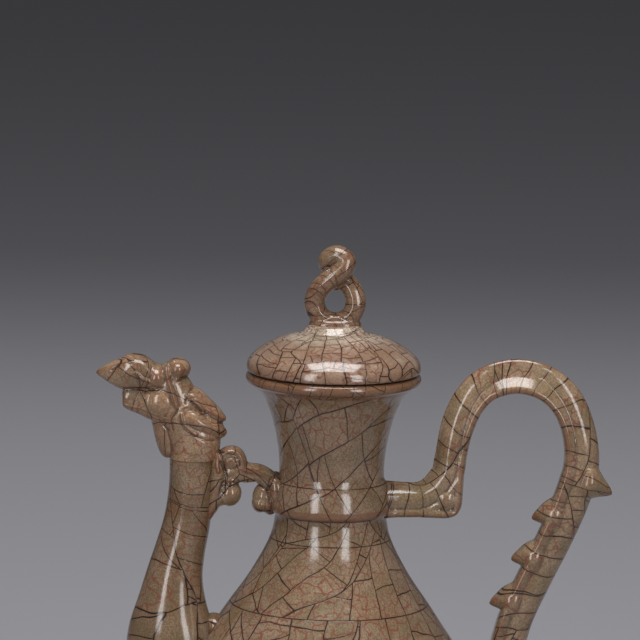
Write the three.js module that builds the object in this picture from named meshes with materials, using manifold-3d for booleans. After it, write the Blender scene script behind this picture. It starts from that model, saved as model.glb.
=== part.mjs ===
// A covered wine ewer of thrown and luted stoneware: pear-shaped body, phoenix-head spout braced to
// the neck by a cloud-shaped bridge, looped handle with claws, and a domed lid with a knotted finial.
// Millimetres, +Z up. The spout points to -X. The origin is on the foot's standing plane, midway between
// the beak and the outer claw, and the ewer's turned axis stands a little to the -X side of it.
import * as THREE from "three";
import { mergeVertices } from "three/addons/utils/BufferGeometryUtils.js";
import Module from "manifold-3d";

const wasm = await Module();
wasm.setup();

// Joints and walls
const LATHE_SIDES = 40; // facets round every thrown piece
const SEAM = 0.3; // joint left between two pieces that are luted together
const WALL = 4.2; // thrown wall of the body and neck
const FLOOR = 6; // thickness of the body's floor

// Thrown body, from the foot up. Each rise is measured from the top of the piece below it.
const FOOT_RADIUS = 37;
const FOOT_WIDTH = 6.5;
const FOOT_RISE = 9;
const FOOT_CHAMFER = 1.2;
const ANKLE_RADIUS = 35.5;
const BELLY_RADIUS = 61;
const BELLY_RISE = 59;
const SHOULDER_RADIUS = 39.7;
const SHOULDER_RISE = 47;
const COLLAR_RADIUS = 20.9; // top of the shoulder, just under the neck band
const COLLAR_RISE = 34;
const NECK_RADIUS = 19.1;
const NECK_RISE = 22.5;
const FLARE_RADIUS = 25; // top of the neck, where the everted rim is joined on
const FLARE_RISE = 24.5;
const RIM_RADIUS = 32.4;
const RIM_RISE = 9.6; // from the neck's top to the mouth
const RIM_EDGE = 4.2; // upright edge of the rim
const MOUTH_BORE = 24.5;

// Raised band round the foot of the neck
const BAND_RISE = 9.8; // from the collar to the band's middle
const BAND_HALF = 5.8;
const BAND_PROUD = 1.4;

// Lid
const LID_INSET = 0.4; // the lid is this much smaller than the rim
const LID_GAP = 0.4; // between the lid's bearing ring and the mouth
const LID_EDGE = 1.4; // bearing ring to the widest point
const LID_RISE = 15.2; // bearing ring to the top of the dome
const LID_SHELL = 4;
const LID_PLAY = 0.7; // all round, between the lid's collar and the throat
const LID_COLLAR_WALL = 2.6;
const LID_COLLAR_DEPTH = 7.6;
const PAD_RADIUS = 10.5;
const PAD_RISE = 2.4;

// Knotted finial
const CORD_RADIUS = 3.55;
const KNOT_HALF = 11; // half the width over the lower loop
const KNOT_RISE = 29.7;
const KNOT_BUTTON = 5.85; // outer radius of the small loop on top
const KNOT_SINK = 3; // depth to which the rope is pressed on to its pad

// Spout
const SPOUT_X = 51.9; // axis of the ewer to the spout's upright neck
const SPOUT_HALF = 8.2; // half thickness of that neck
const SPOUT_RISE = 18.2; // from the band's middle to the spout's top
const SPOUT_WALL = 3.7;
const SPOUT_HOLE = 9; // most that the bore widens towards the belly

// Phoenix head, drawn at this length from nape to beak
const HEAD_LENGTH = 36;
const HEAD_DRAWN = 36;

// Handle
const HANDLE_HALF = 6.1; // half its width, seen from the side
const HANDLE_ACROSS = 5.4; // half its thickness
const ARM_DROP = 1; // the arm's centre line lies this far under the band's middle
const RISER_X = 42.5; // axis of the ewer to the handle's riser
const LOOP_SPAN = 50.5; // from the riser to the back of the loop
const LOOP_RISE = 48; // from the arm to the top of the loop
const CLAW_LENGTH = 10; // a claw's root, along the handle
const CLAW_REACH = 4.6; // how far it stands out of the handle
const CLAW_PITCH = 18;

const glaze = (colour) =>
  new THREE.MeshStandardMaterial({ color: colour, roughness: 0.18, metalness: 0 });
const BODY_GLAZE = glaze(0x9b8566);
const THIN_GLAZE = glaze(0x8f6a47);
const FOOT_CLAY = new THREE.MeshStandardMaterial({ color: 0x4a3527, roughness: 0.85, metalness: 0 });

// Heights of the thrown pieces
const bellyZ = FOOT_RISE + BELLY_RISE;
const shoulderZ = bellyZ + SHOULDER_RISE;
const collarZ = shoulderZ + COLLAR_RISE;
const waistZ = collarZ + NECK_RISE;
const flareZ = waistZ + FLARE_RISE;
const mouthZ = flareZ + RIM_RISE;
const bandZ = collarZ + BAND_RISE;
const bandRadius = COLLAR_RADIUS + SEAM + BAND_PROUD;
const lidZ = mouthZ + LID_GAP;
const lidRadius = RIM_RADIUS - LID_INSET;
const padZ = lidZ + LID_RISE;
const knotZ = padZ + PAD_RISE;

const mix = (a, b, share) => a + (b - a) * share;

// A BufferGeometry as a manifold solid
function solid(geometry) {
  const bare = new THREE.BufferGeometry().setAttribute("position", geometry.getAttribute("position"));
  if (geometry.index) bare.setIndex(geometry.index);
  const merged = mergeVertices(bare, 1e-3);
  return new wasm.Manifold(
    new wasm.Mesh({
      numProp: 3,
      vertProperties: merged.attributes.position.array,
      triVerts: new Uint32Array(merged.index.array),
    }),
  );
}

// A manifold solid back as a BufferGeometry
function geometryOf(made) {
  const mesh = made.getMesh();
  return new THREE.BufferGeometry()
    .setAttribute("position", new THREE.BufferAttribute(new Float32Array(mesh.vertProperties), 3))
    .setIndex(new THREE.BufferAttribute(new Uint32Array(mesh.triVerts), 1));
}

// The largest body that a cut leaves
function largest(made) {
  return made.decompose().reduce((best, body) => (body.volume() > best.volume() ? body : best));
}

// A solid thrown from a closed [radius, height] profile, listed anticlockwise seen with +Z up
function thrown(profile, sides = LATHE_SIDES) {
  const points = [...profile, profile[0]].map(([r, z]) => new THREE.Vector2(r, z));
  return solid(new THREE.LatheGeometry(points, sides).rotateX(Math.PI / 2));
}

// A solid lofted through rings of points, closed by a fan at each end
function loft(rings) {
  const count = rings[0].length;
  const points = rings.flat();
  const faces = [];
  for (let i = 0; i + 1 < rings.length; i++)
    for (let j = 0; j < count; j++) {
      const a = i * count + j;
      const b = i * count + ((j + 1) % count);
      faces.push(a, b, a + count, b, b + count, a + count);
    }
  const centre = (ring) => ring.reduce((sum, p) => sum.add(p), new THREE.Vector3()).divideScalar(count);
  points.push(centre(rings[0]), centre(rings.at(-1)));
  const last = (rings.length - 1) * count;
  for (let j = 0; j < count; j++) {
    const next = (j + 1) % count;
    faces.push(points.length - 2, next, j);
    faces.push(points.length - 1, last + j, last + next);
  }
  return solid(new THREE.BufferGeometry().setFromPoints(points).setIndex(faces));
}

// Sections of a limb as [outward, across] shares of its two half widths
const oval = (sides) =>
  Array.from({ length: sides }, (_, j) => {
    const angle = (2 * Math.PI * j) / sides;
    return [Math.cos(angle), Math.sin(angle)];
  });

// The handle's section is keeled: a ridge runs along each side, a third of the way in from the outer edge
const KEELED = [
  [1, 0],
  [0.9, 0.5],
  [0.66, 0.82],
  [0.34, 1],
  [-0.12, 0.93],
  [-0.58, 0.78],
  [-0.9, 0.48],
  [-1, 0],
  [-0.9, -0.48],
  [-0.58, -0.78],
  [-0.12, -0.93],
  [0.34, -1],
  [0.66, -0.82],
  [0.9, -0.5],
];

// A limb that lies in the ewer's middle plane. Each station is [x, z, half width in the plane,
// half width across it]. grow swells it all over, and y moves it to one side of the plane.
function limb(stations, { steps = 16, section = oval(12), grow = 0, y = 0 } = {}) {
  const line = new THREE.CatmullRomCurve3(stations.map(([x, z]) => new THREE.Vector3(x, 0, z)));
  const widths = new THREE.CatmullRomCurve3(stations.map((s) => new THREE.Vector3(s[2], s[3], 0)));
  const rings = [];
  for (let i = 0; i <= steps; i++) {
    const t = i / steps;
    const centre = line.getPoint(t);
    const along = line.getTangent(t);
    if (grow) centre.addScaledVector(along, i === 0 ? -grow : i === steps ? grow : 0);
    const outward = new THREE.Vector3(along.z, 0, -along.x);
    const half = widths.getPoint(t);
    rings.push(
      section.map(([u, v]) =>
        centre
          .clone()
          .addScaledVector(outward, u * (half.x + grow))
          .add(new THREE.Vector3(0, y + v * (half.y + grow), 0)),
      ),
    );
  }
  return loft(rings);
}

// The body's outer wall, from the foot ring up to the rim, as [radius, height]
const OUTLINE = [
  [ANKLE_RADIUS, FOOT_RISE],
  [mix(ANKLE_RADIUS, BELLY_RADIUS, 0.67), FOOT_RISE + 0.41 * BELLY_RISE],
  [BELLY_RADIUS, bellyZ],
  [mix(BELLY_RADIUS, SHOULDER_RADIUS, 0.3), bellyZ + 0.48 * SHOULDER_RISE],
  [SHOULDER_RADIUS, shoulderZ],
  [mix(SHOULDER_RADIUS, COLLAR_RADIUS, 0.53), shoulderZ + 0.43 * COLLAR_RISE],
  [mix(SHOULDER_RADIUS, COLLAR_RADIUS, 0.9), shoulderZ + 0.81 * COLLAR_RISE],
  [COLLAR_RADIUS, collarZ],
  [NECK_RADIUS, waistZ],
  [mix(NECK_RADIUS, FLARE_RADIUS, 0.42), waistZ + 0.63 * FLARE_RISE],
  [FLARE_RADIUS, flareZ],
];
const BELLY_JOINT = 2; // the station at which the two thrown halves of the belly are luted
const NECK_JOINT = 7; // the station at which the neck is luted to the shoulder
const FLARE_JOINT = OUTLINE.length - 1;
const outline = new THREE.CatmullRomCurve3(OUTLINE.map(([r, z]) => new THREE.Vector3(r, 0, z)));

// Points of the wall between two stations, moved in by inset, measured square to the surface
function wallBetween(first, last, pointsEach, inset = 0) {
  const points = [];
  const spans = (last - first) * pointsEach;
  for (let i = 0; i <= spans; i++) {
    const t = (first + i / pointsEach) / FLARE_JOINT;
    const p = outline.getPoint(t);
    const along = outline.getTangent(t);
    const slope = Math.min(Math.abs(along.x / along.z), 1.2);
    points.push([p.x - inset * Math.hypot(1, slope), p.z]);
  }
  return points;
}

const throatRadius = wallBetween(FLARE_JOINT - 1, FLARE_JOINT, 1, WALL).at(-1)[0];

function wallRing(first, last, pointsEach) {
  const inside = wallBetween(first, last, pointsEach, WALL).reverse();
  return thrown([...wallBetween(first, last, pointsEach), ...inside]);
}

function footRing() {
  const inner = FOOT_RADIUS - FOOT_WIDTH;
  return thrown([
    [inner + FOOT_CHAMFER, 0],
    [FOOT_RADIUS - FOOT_CHAMFER, 0],
    [FOOT_RADIUS, FOOT_CHAMFER],
    [ANKLE_RADIUS, FOOT_RISE],
    [inner - FOOT_CHAMFER, FOOT_RISE],
    [inner, FOOT_CHAMFER],
  ]);
}

function lowerBelly() {
  const floorZ = FOOT_RISE + FLOOR;
  const inside = wallBetween(0, BELLY_JOINT, 4, WALL).filter(([, z]) => z > floorZ + WALL / 2);
  return thrown([
    [0, FOOT_RISE],
    ...wallBetween(0, BELLY_JOINT, 4),
    ...inside.reverse(),
    [inside.at(-1)[0] - WALL, floorZ],
    [0, floorZ],
  ]);
}

// The everted rim: hollow under its edge, upright outside, flat on top
function mouthRim() {
  const under = mouthZ - RIM_EDGE;
  return thrown([
    [FLARE_RADIUS, flareZ],
    [mix(FLARE_RADIUS, RIM_RADIUS, 0.22), mix(flareZ, under, 0.36)],
    [mix(FLARE_RADIUS, RIM_RADIUS, 0.56), mix(flareZ, under, 0.68)],
    [mix(FLARE_RADIUS, RIM_RADIUS, 0.88), under],
    [RIM_RADIUS, under + 0.3 * RIM_EDGE],
    [RIM_RADIUS, mouthZ - 0.3 * RIM_EDGE],
    [RIM_RADIUS - 0.3 * RIM_EDGE, mouthZ],
    [MOUTH_BORE, mouthZ],
    [MOUTH_BORE - 0.2 * RIM_EDGE, mouthZ - 0.2 * RIM_EDGE],
    [throatRadius, flareZ],
  ]);
}

function neckBand() {
  const inner = COLLAR_RADIUS + SEAM;
  return thrown([
    [inner, bandZ - BAND_HALF],
    [inner + 0.7 * BAND_PROUD, bandZ - 0.86 * BAND_HALF],
    [bandRadius, bandZ - 0.4 * BAND_HALF],
    [bandRadius, bandZ + 0.4 * BAND_HALF],
    [inner + 0.7 * BAND_PROUD, bandZ + 0.86 * BAND_HALF],
    [inner, bandZ + BAND_HALF],
  ]);
}

// The lid's dome rises steeply at its rounded edge and flattens towards the pad
function lidDome() {
  const DOME_POWER = 0.6;
  const collarBore = lidRadius - (RIM_RADIUS - throatRadius) - LID_PLAY + LID_INSET - LID_COLLAR_WALL;
  const domeRise = LID_RISE - LID_EDGE;
  const shares = [0, 0.02, 0.08, 0.2, 0.38, 0.6, 0.8, 1];
  const dome = shares.map((share) => [
    mix(lidRadius, PAD_RADIUS, share),
    lidZ + LID_EDGE + domeRise * share ** DOME_POWER,
  ]);
  return thrown([
    [collarBore, lidZ],
    [lidRadius - LID_EDGE, lidZ],
    ...dome,
    [0, padZ],
    [0, padZ - LID_SHELL],
    [0.7 * PAD_RADIUS, padZ - LID_SHELL],
    [collarBore, lidZ + LID_SHELL],
  ]);
}

function lidCollar() {
  const outer = throatRadius - LID_PLAY;
  const inner = outer - LID_COLLAR_WALL;
  const chamfer = 0.3 * LID_COLLAR_WALL;
  return thrown([
    [inner, lidZ - LID_COLLAR_DEPTH],
    [outer - chamfer, lidZ - LID_COLLAR_DEPTH],
    [outer, lidZ - LID_COLLAR_DEPTH + chamfer],
    [outer, lidZ],
    [inner, lidZ],
  ]);
}

function finialPad() {
  return thrown([
    [0, padZ],
    [PAD_RADIUS, padZ],
    [0.92 * PAD_RADIUS, padZ + 0.3 * PAD_RISE],
    [0.9 * PAD_RADIUS, padZ + 0.8 * PAD_RISE],
    [0.86 * PAD_RADIUS, knotZ],
    [0, knotZ],
  ]);
}

// The knot: a rope makes a wide loop, crosses itself and closes in a small button-like loop on top.
// Each strand is half of the rope, and the other is the same turned half round.
function finialKnot() {
  const low = knotZ + CORD_RADIUS - KNOT_SINK;
  const loopHalf = KNOT_HALF - CORD_RADIUS;
  const buttonZ = knotZ + KNOT_RISE - KNOT_BUTTON;
  const crossing = mix(low, buttonZ, 0.79);
  const aside = 0.75 * CORD_RADIUS; // a strand's distance from the middle plane where they cross
  const points = [
    [0.3 * loopHalf, 0, low],
    [-0.62 * loopHalf, 0, low + 0.3 * CORD_RADIUS],
    [-loopHalf, 0, mix(low, crossing, 0.37)],
    [-0.74 * loopHalf, -0.5 * aside, mix(low, crossing, 0.66)],
    [0, -aside, crossing],
    [0.35 * KNOT_BUTTON, -0.6 * aside, buttonZ],
  ].map(([x, y, z]) => new THREE.Vector3(x, y, z));
  const path = new THREE.CatmullRomCurve3(points);
  const steps = 30;
  const across = new THREE.Vector3(0, 1, 0);
  const rings = [];
  for (let i = 0; i <= steps; i++) {
    const centre = path.getPointAt(i / steps);
    const along = path.getTangentAt(i / steps);
    const outward = new THREE.Vector3().crossVectors(across, along).normalize();
    const aside = new THREE.Vector3().crossVectors(along, outward);
    rings.push(
      oval(12).map(([u, v]) =>
        centre
          .clone()
          .addScaledVector(outward, u * CORD_RADIUS)
          .addScaledVector(aside, v * CORD_RADIUS),
      ),
    );
  }
  const strand = loft(rings);
  const other = strand.rotate([0, 0, 180]);
  const dimple = 0.5 * CORD_RADIUS;
  const button = thrown(
    [
      [0, -CORD_RADIUS + dimple],
      [0.3 * KNOT_BUTTON, -CORD_RADIUS + 0.5 * dimple],
      [0.5 * KNOT_BUTTON, -CORD_RADIUS],
      [0.84 * KNOT_BUTTON, -0.75 * CORD_RADIUS],
      [KNOT_BUTTON, 0],
      [0.84 * KNOT_BUTTON, 0.75 * CORD_RADIUS],
      [0.5 * KNOT_BUTTON, CORD_RADIUS],
      [0.3 * KNOT_BUTTON, CORD_RADIUS - 0.5 * dimple],
      [0, CORD_RADIUS - dimple],
    ],
    20,
  )
    .rotate([90, 0, 0])
    .translate([0, 0, buttonZ]);
  return strand.add(other).add(button).trimByPlane([0, 0, 1], knotZ);
}

// The spout: stations up its curved centre line, from inside the belly's wall to the head
const spoutTop = [-SPOUT_X, bandZ + SPOUT_RISE];
const spoutBase = bellyZ - 6;
const bowX = BELLY_RADIUS - 2.2; // furthest out that the spout's centre line bows
const spoutX = (share) => -mix(bowX, SPOUT_X, share);
const spoutZ = (share) => mix(spoutBase, spoutTop[1], share);
const SPOUT = [
  [-(bowX - 18.6), spoutZ(0), 1.85 * SPOUT_HALF, 1.5 * SPOUT_HALF],
  [-(bowX - 8.6), spoutZ(0.105), 2.25 * SPOUT_HALF, 1.7 * SPOUT_HALF],
  [-(bowX - 2.4), spoutZ(0.245), 2.3 * SPOUT_HALF, 1.75 * SPOUT_HALF],
  [spoutX(0), spoutZ(0.39), 1.98 * SPOUT_HALF, 1.62 * SPOUT_HALF],
  [spoutX(0.04), spoutZ(0.495), 1.52 * SPOUT_HALF, 1.42 * SPOUT_HALF],
  [spoutX(0.18), spoutZ(0.575), 1.28 * SPOUT_HALF, 1.25 * SPOUT_HALF],
  [spoutX(0.46), spoutZ(0.655), 1.13 * SPOUT_HALF, 1.12 * SPOUT_HALF],
  [spoutX(0.82), spoutZ(0.755), 1.05 * SPOUT_HALF, 1.03 * SPOUT_HALF],
  [spoutX(1), spoutZ(0.865), SPOUT_HALF, SPOUT_HALF],
  [spoutX(1), spoutZ(1), SPOUT_HALF, SPOUT_HALF],
];

// The phoenix head, facing -X, as offsets from the spout's top
const onHead = (stations) =>
  stations.map(([x, z, a, b]) => {
    const unit = HEAD_LENGTH / HEAD_DRAWN;
    return [spoutTop[0] + x * unit, spoutTop[1] + z * unit, a * unit, b * unit];
  });
const HEAD = {
  head_skull: [
    [0, -0.2, 8.1, 8.1],
    [-1.6, 5.4, 8.6, 8.2],
    [-6, 13.6, 9.4, 8],
    [-11.6, 20, 9.2, 7.6],
    [-17, 25, 7, 6.6],
  ],
  upper_beak: [
    [-13.4, 25.6, 4.4, 5.8],
    [-17.6, 26.8, 5.4, 6.6],
    [-21.8, 27.3, 6.4, 6.6],
    [-27.2, 26.5, 5.2, 5],
    [-31.4, 26.2, 2.9, 2.8],
    [-35.7, 26.3, 0.3, 0.4],
  ],
  lower_jaw: [
    [-10.6, 15, 5.4, 6.6],
    [-17, 16.4, 4.6, 6],
    [-22, 17.4, 3.7, 5.2],
    [-25.8, 17.8, 3.1, 4.6],
  ],
  wattle: [
    [-12.6, 11, 2.4, 3],
    [-10.6, 4.6, 2.4, 2.6],
    [-9.4, -0.8, 2.4, 2.2],
    [-8.8, -3.6, 0.8, 1],
  ],
  comb: [
    [-7.6, 17, 1.8, 7.2],
    [-9, 23, 2, 6.4],
    [-9.2, 28.4, 2.2, 5.4],
    [-6.6, 30.4, 2.2, 4.8],
    [-4, 28.6, 2, 4.4],
  ],
  crest_upper: [
    [-3.6, 21.4, 3.2, 5.6],
    [2.2, 17, 3.8, 5],
    [7, 13.2, 3, 3.6],
    [11.7, 10.4, 0.5, 0.7],
  ],
  crest_lower: [
    [-5, 9.8, 5.8, 9.8],
    [0.6, 8, 5.4, 9.4],
    [6.4, 5.4, 4, 7],
    [12.1, 5, 0.5, 0.9],
  ],
};

// The bore follows the spout, narrows into the neck and leaves through the open beak
const bored = (half) => Math.min(half - SPOUT_WALL, SPOUT_HOLE);
const BORE = [
  [SPOUT[0][0] + 6, SPOUT[0][1] + 5, SPOUT_HOLE, SPOUT_HOLE - 1],
  ...SPOUT.slice(1, -1).map(([x, z, a, b]) => [x, z, bored(a), bored(b)]),
  ...onHead([
    [-0.4, 1, 4.4, 4.4],
    [-4.6, 11, 3.8, 3.8],
    [-12, 16.6, 3, 3.2],
    [-20, 17.8, 2.2, 3],
    [-34, 18.4, 2.2, 3],
  ]),
];

// The handle, from the band out along its arm, up the riser, over the loop and down to the belly
const armZ = bandZ - ARM_DROP;
const loopAt = (across, up) => [RISER_X + across * LOOP_SPAN, armZ + up * LOOP_RISE];
const limbTop = loopAt(0.945, 0.083);
const limbFoot = [BELLY_RADIUS - 9, bellyZ + 9];
const limbAt = (across, down) => [mix(limbTop[0], limbFoot[0], across), mix(limbTop[1], limbFoot[1], down)];
const HANDLE = [
  [[bandRadius - 3, armZ], 1.03],
  [[mix(bandRadius, RISER_X, 0.4), armZ + 0.3], 1.06],
  [[RISER_X - 6, armZ + 1.2], 1.22, 1.06],
  [[RISER_X - 2.6, armZ + 2.2], 1.34, 1.12],
  [[RISER_X - 0.7, armZ + 7.6], 1.04],
  [loopAt(0.012, 0.23), 1],
  [loopAt(0.036, 0.4), 0.95],
  [loopAt(0.073, 0.61), 0.95],
  [loopAt(0.15, 0.805), 0.95],
  [loopAt(0.27, 0.935), 1],
  [loopAt(0.45, 1), 1.04],
  [loopAt(0.6, 0.995), 1.04],
  [loopAt(0.75, 0.935), 1.04],
  [loopAt(0.88, 0.8), 1],
  [loopAt(0.965, 0.58), 0.95],
  [loopAt(1, 0.31), 0.97],
  [limbTop, 1.04],
  [limbAt(0.17, 0.192), 1.04],
  [limbAt(0.37, 0.38), 1.02],
  [limbAt(0.55, 0.57), 1.03],
  [limbAt(0.665, 0.776), 1.1],
  [limbAt(0.79, 0.9), 1.25],
  [limbAt(1, 1), 1.4],
].map(([[x, z], swell, across = swell]) => [x, z, swell * HANDLE_HALF, across * HANDLE_ACROSS]);

// The claws: three at an even pitch down the inner edge and a longer one on the outer edge
const handleLine = new THREE.CatmullRomCurve3(HANDLE.map(([x, z]) => new THREE.Vector3(x, 0, z)));
const handleLength = handleLine.getLength();
const FIRST_CLAW = 0.637; // the share of the handle's length at which the uppermost inner claw stands
const innerClaw = (count) => ({
  share: FIRST_CLAW + (count * CLAW_PITCH) / handleLength,
  side: -1,
  reach: CLAW_REACH,
  hang: 0.36,
});
const CLAWS = {
  thorn_outer: { share: 0.572, side: 1, reach: 1.45 * CLAW_REACH, hang: 0.18 },
  thorn_inner_upper: innerClaw(0),
  thorn_inner_middle: innerClaw(1),
  thorn_inner_lower: innerClaw(2),
};

// A claw rises from the handle's centre line to a point that hangs towards the lower end of its root
function clawStations({ share, side, reach, hang }) {
  const root = handleLine.getPointAt(share);
  const down = handleLine.getTangentAt(share);
  const out = new THREE.Vector3(-down.z, 0, down.x).multiplyScalar(side);
  const station = (along, away, half, across) => {
    const p = root.clone().addScaledVector(down, along * CLAW_LENGTH).addScaledVector(out, away);
    return [p.x, p.z, half * CLAW_LENGTH, across * CLAW_LENGTH];
  };
  return [
    station(0, 0.2 * HANDLE_HALF, 0.58, 0.46),
    station(0.05 * hang, 0.62 * HANDLE_HALF, 0.56, 0.5),
    station(0.17 * hang, HANDLE_HALF, 0.45, 0.4),
    station(0.45 * hang, HANDLE_HALF + 0.42 * reach, 0.28, 0.23),
    station(0.77 * hang, HANDLE_HALF + 0.78 * reach, 0.12, 0.1),
    station(hang, HANDLE_HALF + reach, 0.012, 0.015),
  ];
}

// The cloud bridge, from the spout's edge to the band: shares of that gap, and heights from the band
const gapFrom = -SPOUT_X + SPOUT_HALF;
const gapTo = -bandRadius;
const bridgeAt = (share, up, a, b) => [mix(gapFrom, gapTo, share), bandZ + up, a, b];
const BRIDGE = {
  bridge_leaf: [
    bridgeAt(0.03, 14, 0.8, 1.4),
    bridgeAt(0.07, 9, 2.6, 3.4),
    bridgeAt(0.11, 3.4, 3.5, 4),
    bridgeAt(0.04, -3, 2.8, 3),
    bridgeAt(-0.01, -7.6, 0.7, 1.4),
  ],
  bridge_limb: [
    bridgeAt(0.13, 6.4, 4.2, 4.4),
    bridgeAt(0.42, 7.4, 3.8, 4.3),
    bridgeAt(0.68, 8.4, 3.3, 3.9),
    bridgeAt(0.9, 6, 3.3, 3.7),
    bridgeAt(1.14, 3.4, 3.4, 3.8),
  ],
  bridge_scroll: [
    bridgeAt(0.52, 10.8, 1.9, 3.2),
    bridgeAt(0.46, 14.2, 2, 3.4),
    bridgeAt(0.32, 16.2, 2, 3.4),
    bridgeAt(0.15, 15, 2, 3.2),
    bridgeAt(0.11, 12.2, 1.9, 3),
    bridgeAt(0.22, 11.2, 1.7, 2.8),
  ],
  bridge_drop_left: [
    bridgeAt(0.28, 5, 2.4, 2.8),
    bridgeAt(0.285, 2.4, 3.5, 3.8),
    bridgeAt(0.29, -0.4, 3.8, 4),
    bridgeAt(0.29, -3, 2.3, 2.6),
    bridgeAt(0.29, -3.9, 0.9, 1),
  ],
  bridge_drop_right: [
    bridgeAt(0.83, 4.4, 2.6, 3),
    bridgeAt(0.86, 1, 3.7, 3.9),
    bridgeAt(0.88, -2.4, 4.1, 4.2),
    bridgeAt(0.92, -5.2, 2.8, 3),
    bridgeAt(0.94, -6.4, 0.9, 1.2),
  ],
};

const parts = new THREE.Group();

// Adds a named mesh, first cutting away what already stands in its place
function place(name, shape, material, cutters = []) {
  let body = shape;
  for (const cutter of cutters) body = body.subtract(cutter);
  const mesh = new THREE.Mesh(geometryOf(largest(body)), material);
  mesh.name = name;
  parts.add(mesh);
}

// The outside of the body and of the band as solids, swelled by the seam, to cut what is luted on
const bodyZone = thrown([[0, FOOT_RISE], ...wallBetween(0, FLARE_JOINT, 4, -SEAM), [0, flareZ]]);
const bandZone = thrown([
  [0, bandZ - BAND_HALF - SEAM],
  [bandRadius - BAND_PROUD + SEAM, bandZ - BAND_HALF - SEAM],
  [bandRadius + SEAM, bandZ - 0.7 * BAND_HALF],
  [bandRadius + SEAM, bandZ + 0.7 * BAND_HALF],
  [bandRadius - BAND_PROUD + SEAM, bandZ + BAND_HALF + SEAM],
  [0, bandZ + BAND_HALF + SEAM],
]);
const vesselZone = bodyZone.add(bandZone);
const bore = limb(BORE, { steps: 40, section: oval(10) });
const spoutBody = (grow = 0) => limb(SPOUT, { steps: 26, section: oval(18), grow });
const handleBody = (grow = 0) => limb(HANDLE, { steps: 66, section: KEELED, grow });

place("foot_ring", footRing(), FOOT_CLAY);
place("lower_belly", lowerBelly(), BODY_GLAZE, [bore]);
place("upper_belly", wallRing(BELLY_JOINT, NECK_JOINT, 2), BODY_GLAZE, [bore]);
place("neck", wallRing(NECK_JOINT, FLARE_JOINT, 3), BODY_GLAZE);
place("mouth_rim", mouthRim(), THIN_GLAZE);
place("neck_band", neckBand(), BODY_GLAZE);

place("spout_tube", spoutBody(), BODY_GLAZE, [bodyZone, bore]);
const grownSpout = spoutBody(SEAM);

// Modelled pieces are put on in turn, and each is cut by those that are there before it
function model(pieces, options, standing) {
  for (const [name, stations] of Object.entries(pieces)) {
    place(name, limb(stations, options), THIN_GLAZE, standing);
    standing.push(limb(stations, { ...options, grow: SEAM }));
  }
}

const headPieces = Object.fromEntries(Object.entries(HEAD).map(([name, rows]) => [name, onHead(rows)]));
const headStanding = [grownSpout, bore];
model(headPieces, { steps: 10, section: oval(14) }, headStanding);
model(BRIDGE, { steps: 10, section: oval(12) }, [grownSpout, vesselZone, ...headStanding.slice(2)]);

place("handle", handleBody(), BODY_GLAZE, [vesselZone]);
const grownHandle = handleBody(SEAM);
for (const [name, claw] of Object.entries(CLAWS))
  place(name, limb(clawStations(claw), { steps: 10, section: oval(12) }), THIN_GLAZE, [grownHandle]);

place("lid_dome", lidDome(), BODY_GLAZE);
place("lid_collar", lidCollar(), BODY_GLAZE);
place("finial_pad", finialPad(), BODY_GLAZE);
place("finial_knot", finialKnot(), THIN_GLAZE);

// The origin is the middle of the whole outline at the foot's standing plane
const outlineBox = new THREE.Box3().setFromObject(parts);
parts.position.x = -(outlineBox.min.x + outlineBox.max.x) / 2;

export default parts;
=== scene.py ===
"""Looks for the covered ewer: modelled clay, crackle glaze, studio light and camera."""

import logging
import math
from dataclasses import dataclass, field
from enum import Enum

import bpy
import numpy as np
from mathutils import Matrix, Vector


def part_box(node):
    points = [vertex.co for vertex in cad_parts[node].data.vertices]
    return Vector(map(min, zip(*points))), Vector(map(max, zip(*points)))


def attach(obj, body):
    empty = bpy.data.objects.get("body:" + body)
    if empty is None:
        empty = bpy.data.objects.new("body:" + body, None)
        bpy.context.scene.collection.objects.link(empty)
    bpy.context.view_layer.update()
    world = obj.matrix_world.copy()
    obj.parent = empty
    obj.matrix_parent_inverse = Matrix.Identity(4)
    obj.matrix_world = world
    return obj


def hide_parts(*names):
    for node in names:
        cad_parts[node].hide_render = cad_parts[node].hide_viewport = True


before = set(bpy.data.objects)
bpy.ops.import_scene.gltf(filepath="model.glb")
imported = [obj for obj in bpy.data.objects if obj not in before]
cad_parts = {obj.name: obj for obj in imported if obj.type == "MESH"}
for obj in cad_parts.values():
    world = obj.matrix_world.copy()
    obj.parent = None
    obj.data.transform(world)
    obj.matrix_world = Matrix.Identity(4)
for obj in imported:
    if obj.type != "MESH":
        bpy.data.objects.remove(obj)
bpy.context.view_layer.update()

logging.basicConfig(level=logging.INFO, format="%(message)s")
log = logging.getLogger("ewer")

MM = 0.001
BAND_LOW, BAND_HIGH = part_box("neck_band")
AXIS_X = (BAND_LOW.x + BAND_HIGH.x) / 2

Station = tuple[float, float, float, float]
Point = tuple[float, float]


class Body(Enum):
    """The two bodies that a piece can ride on."""

    EWER = "ewer"
    LID = "lid"


class Slot(Enum):
    """The record's material slots."""

    CRACKLE = "crackle_glaze"
    THIN = "thin_glaze"
    CLAY = "foot_clay"


def mirrored(half: list[Point]) -> list[Point]:
    """Closes a half section.

    Args:
        half: Points from the outward end to the inward end, as (outward, across) shares.

    Returns:
        The whole section, the same on both sides of the middle plane.
    """
    return half + [(u, -v) for u, v in reversed(half[1:-1])]


def oval(sides: int) -> list[Point]:
    """An oval section with that many sides."""
    return [(math.cos(2 * math.pi * j / sides), math.sin(2 * math.pi * j / sides)) for j in range(sides)]


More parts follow.
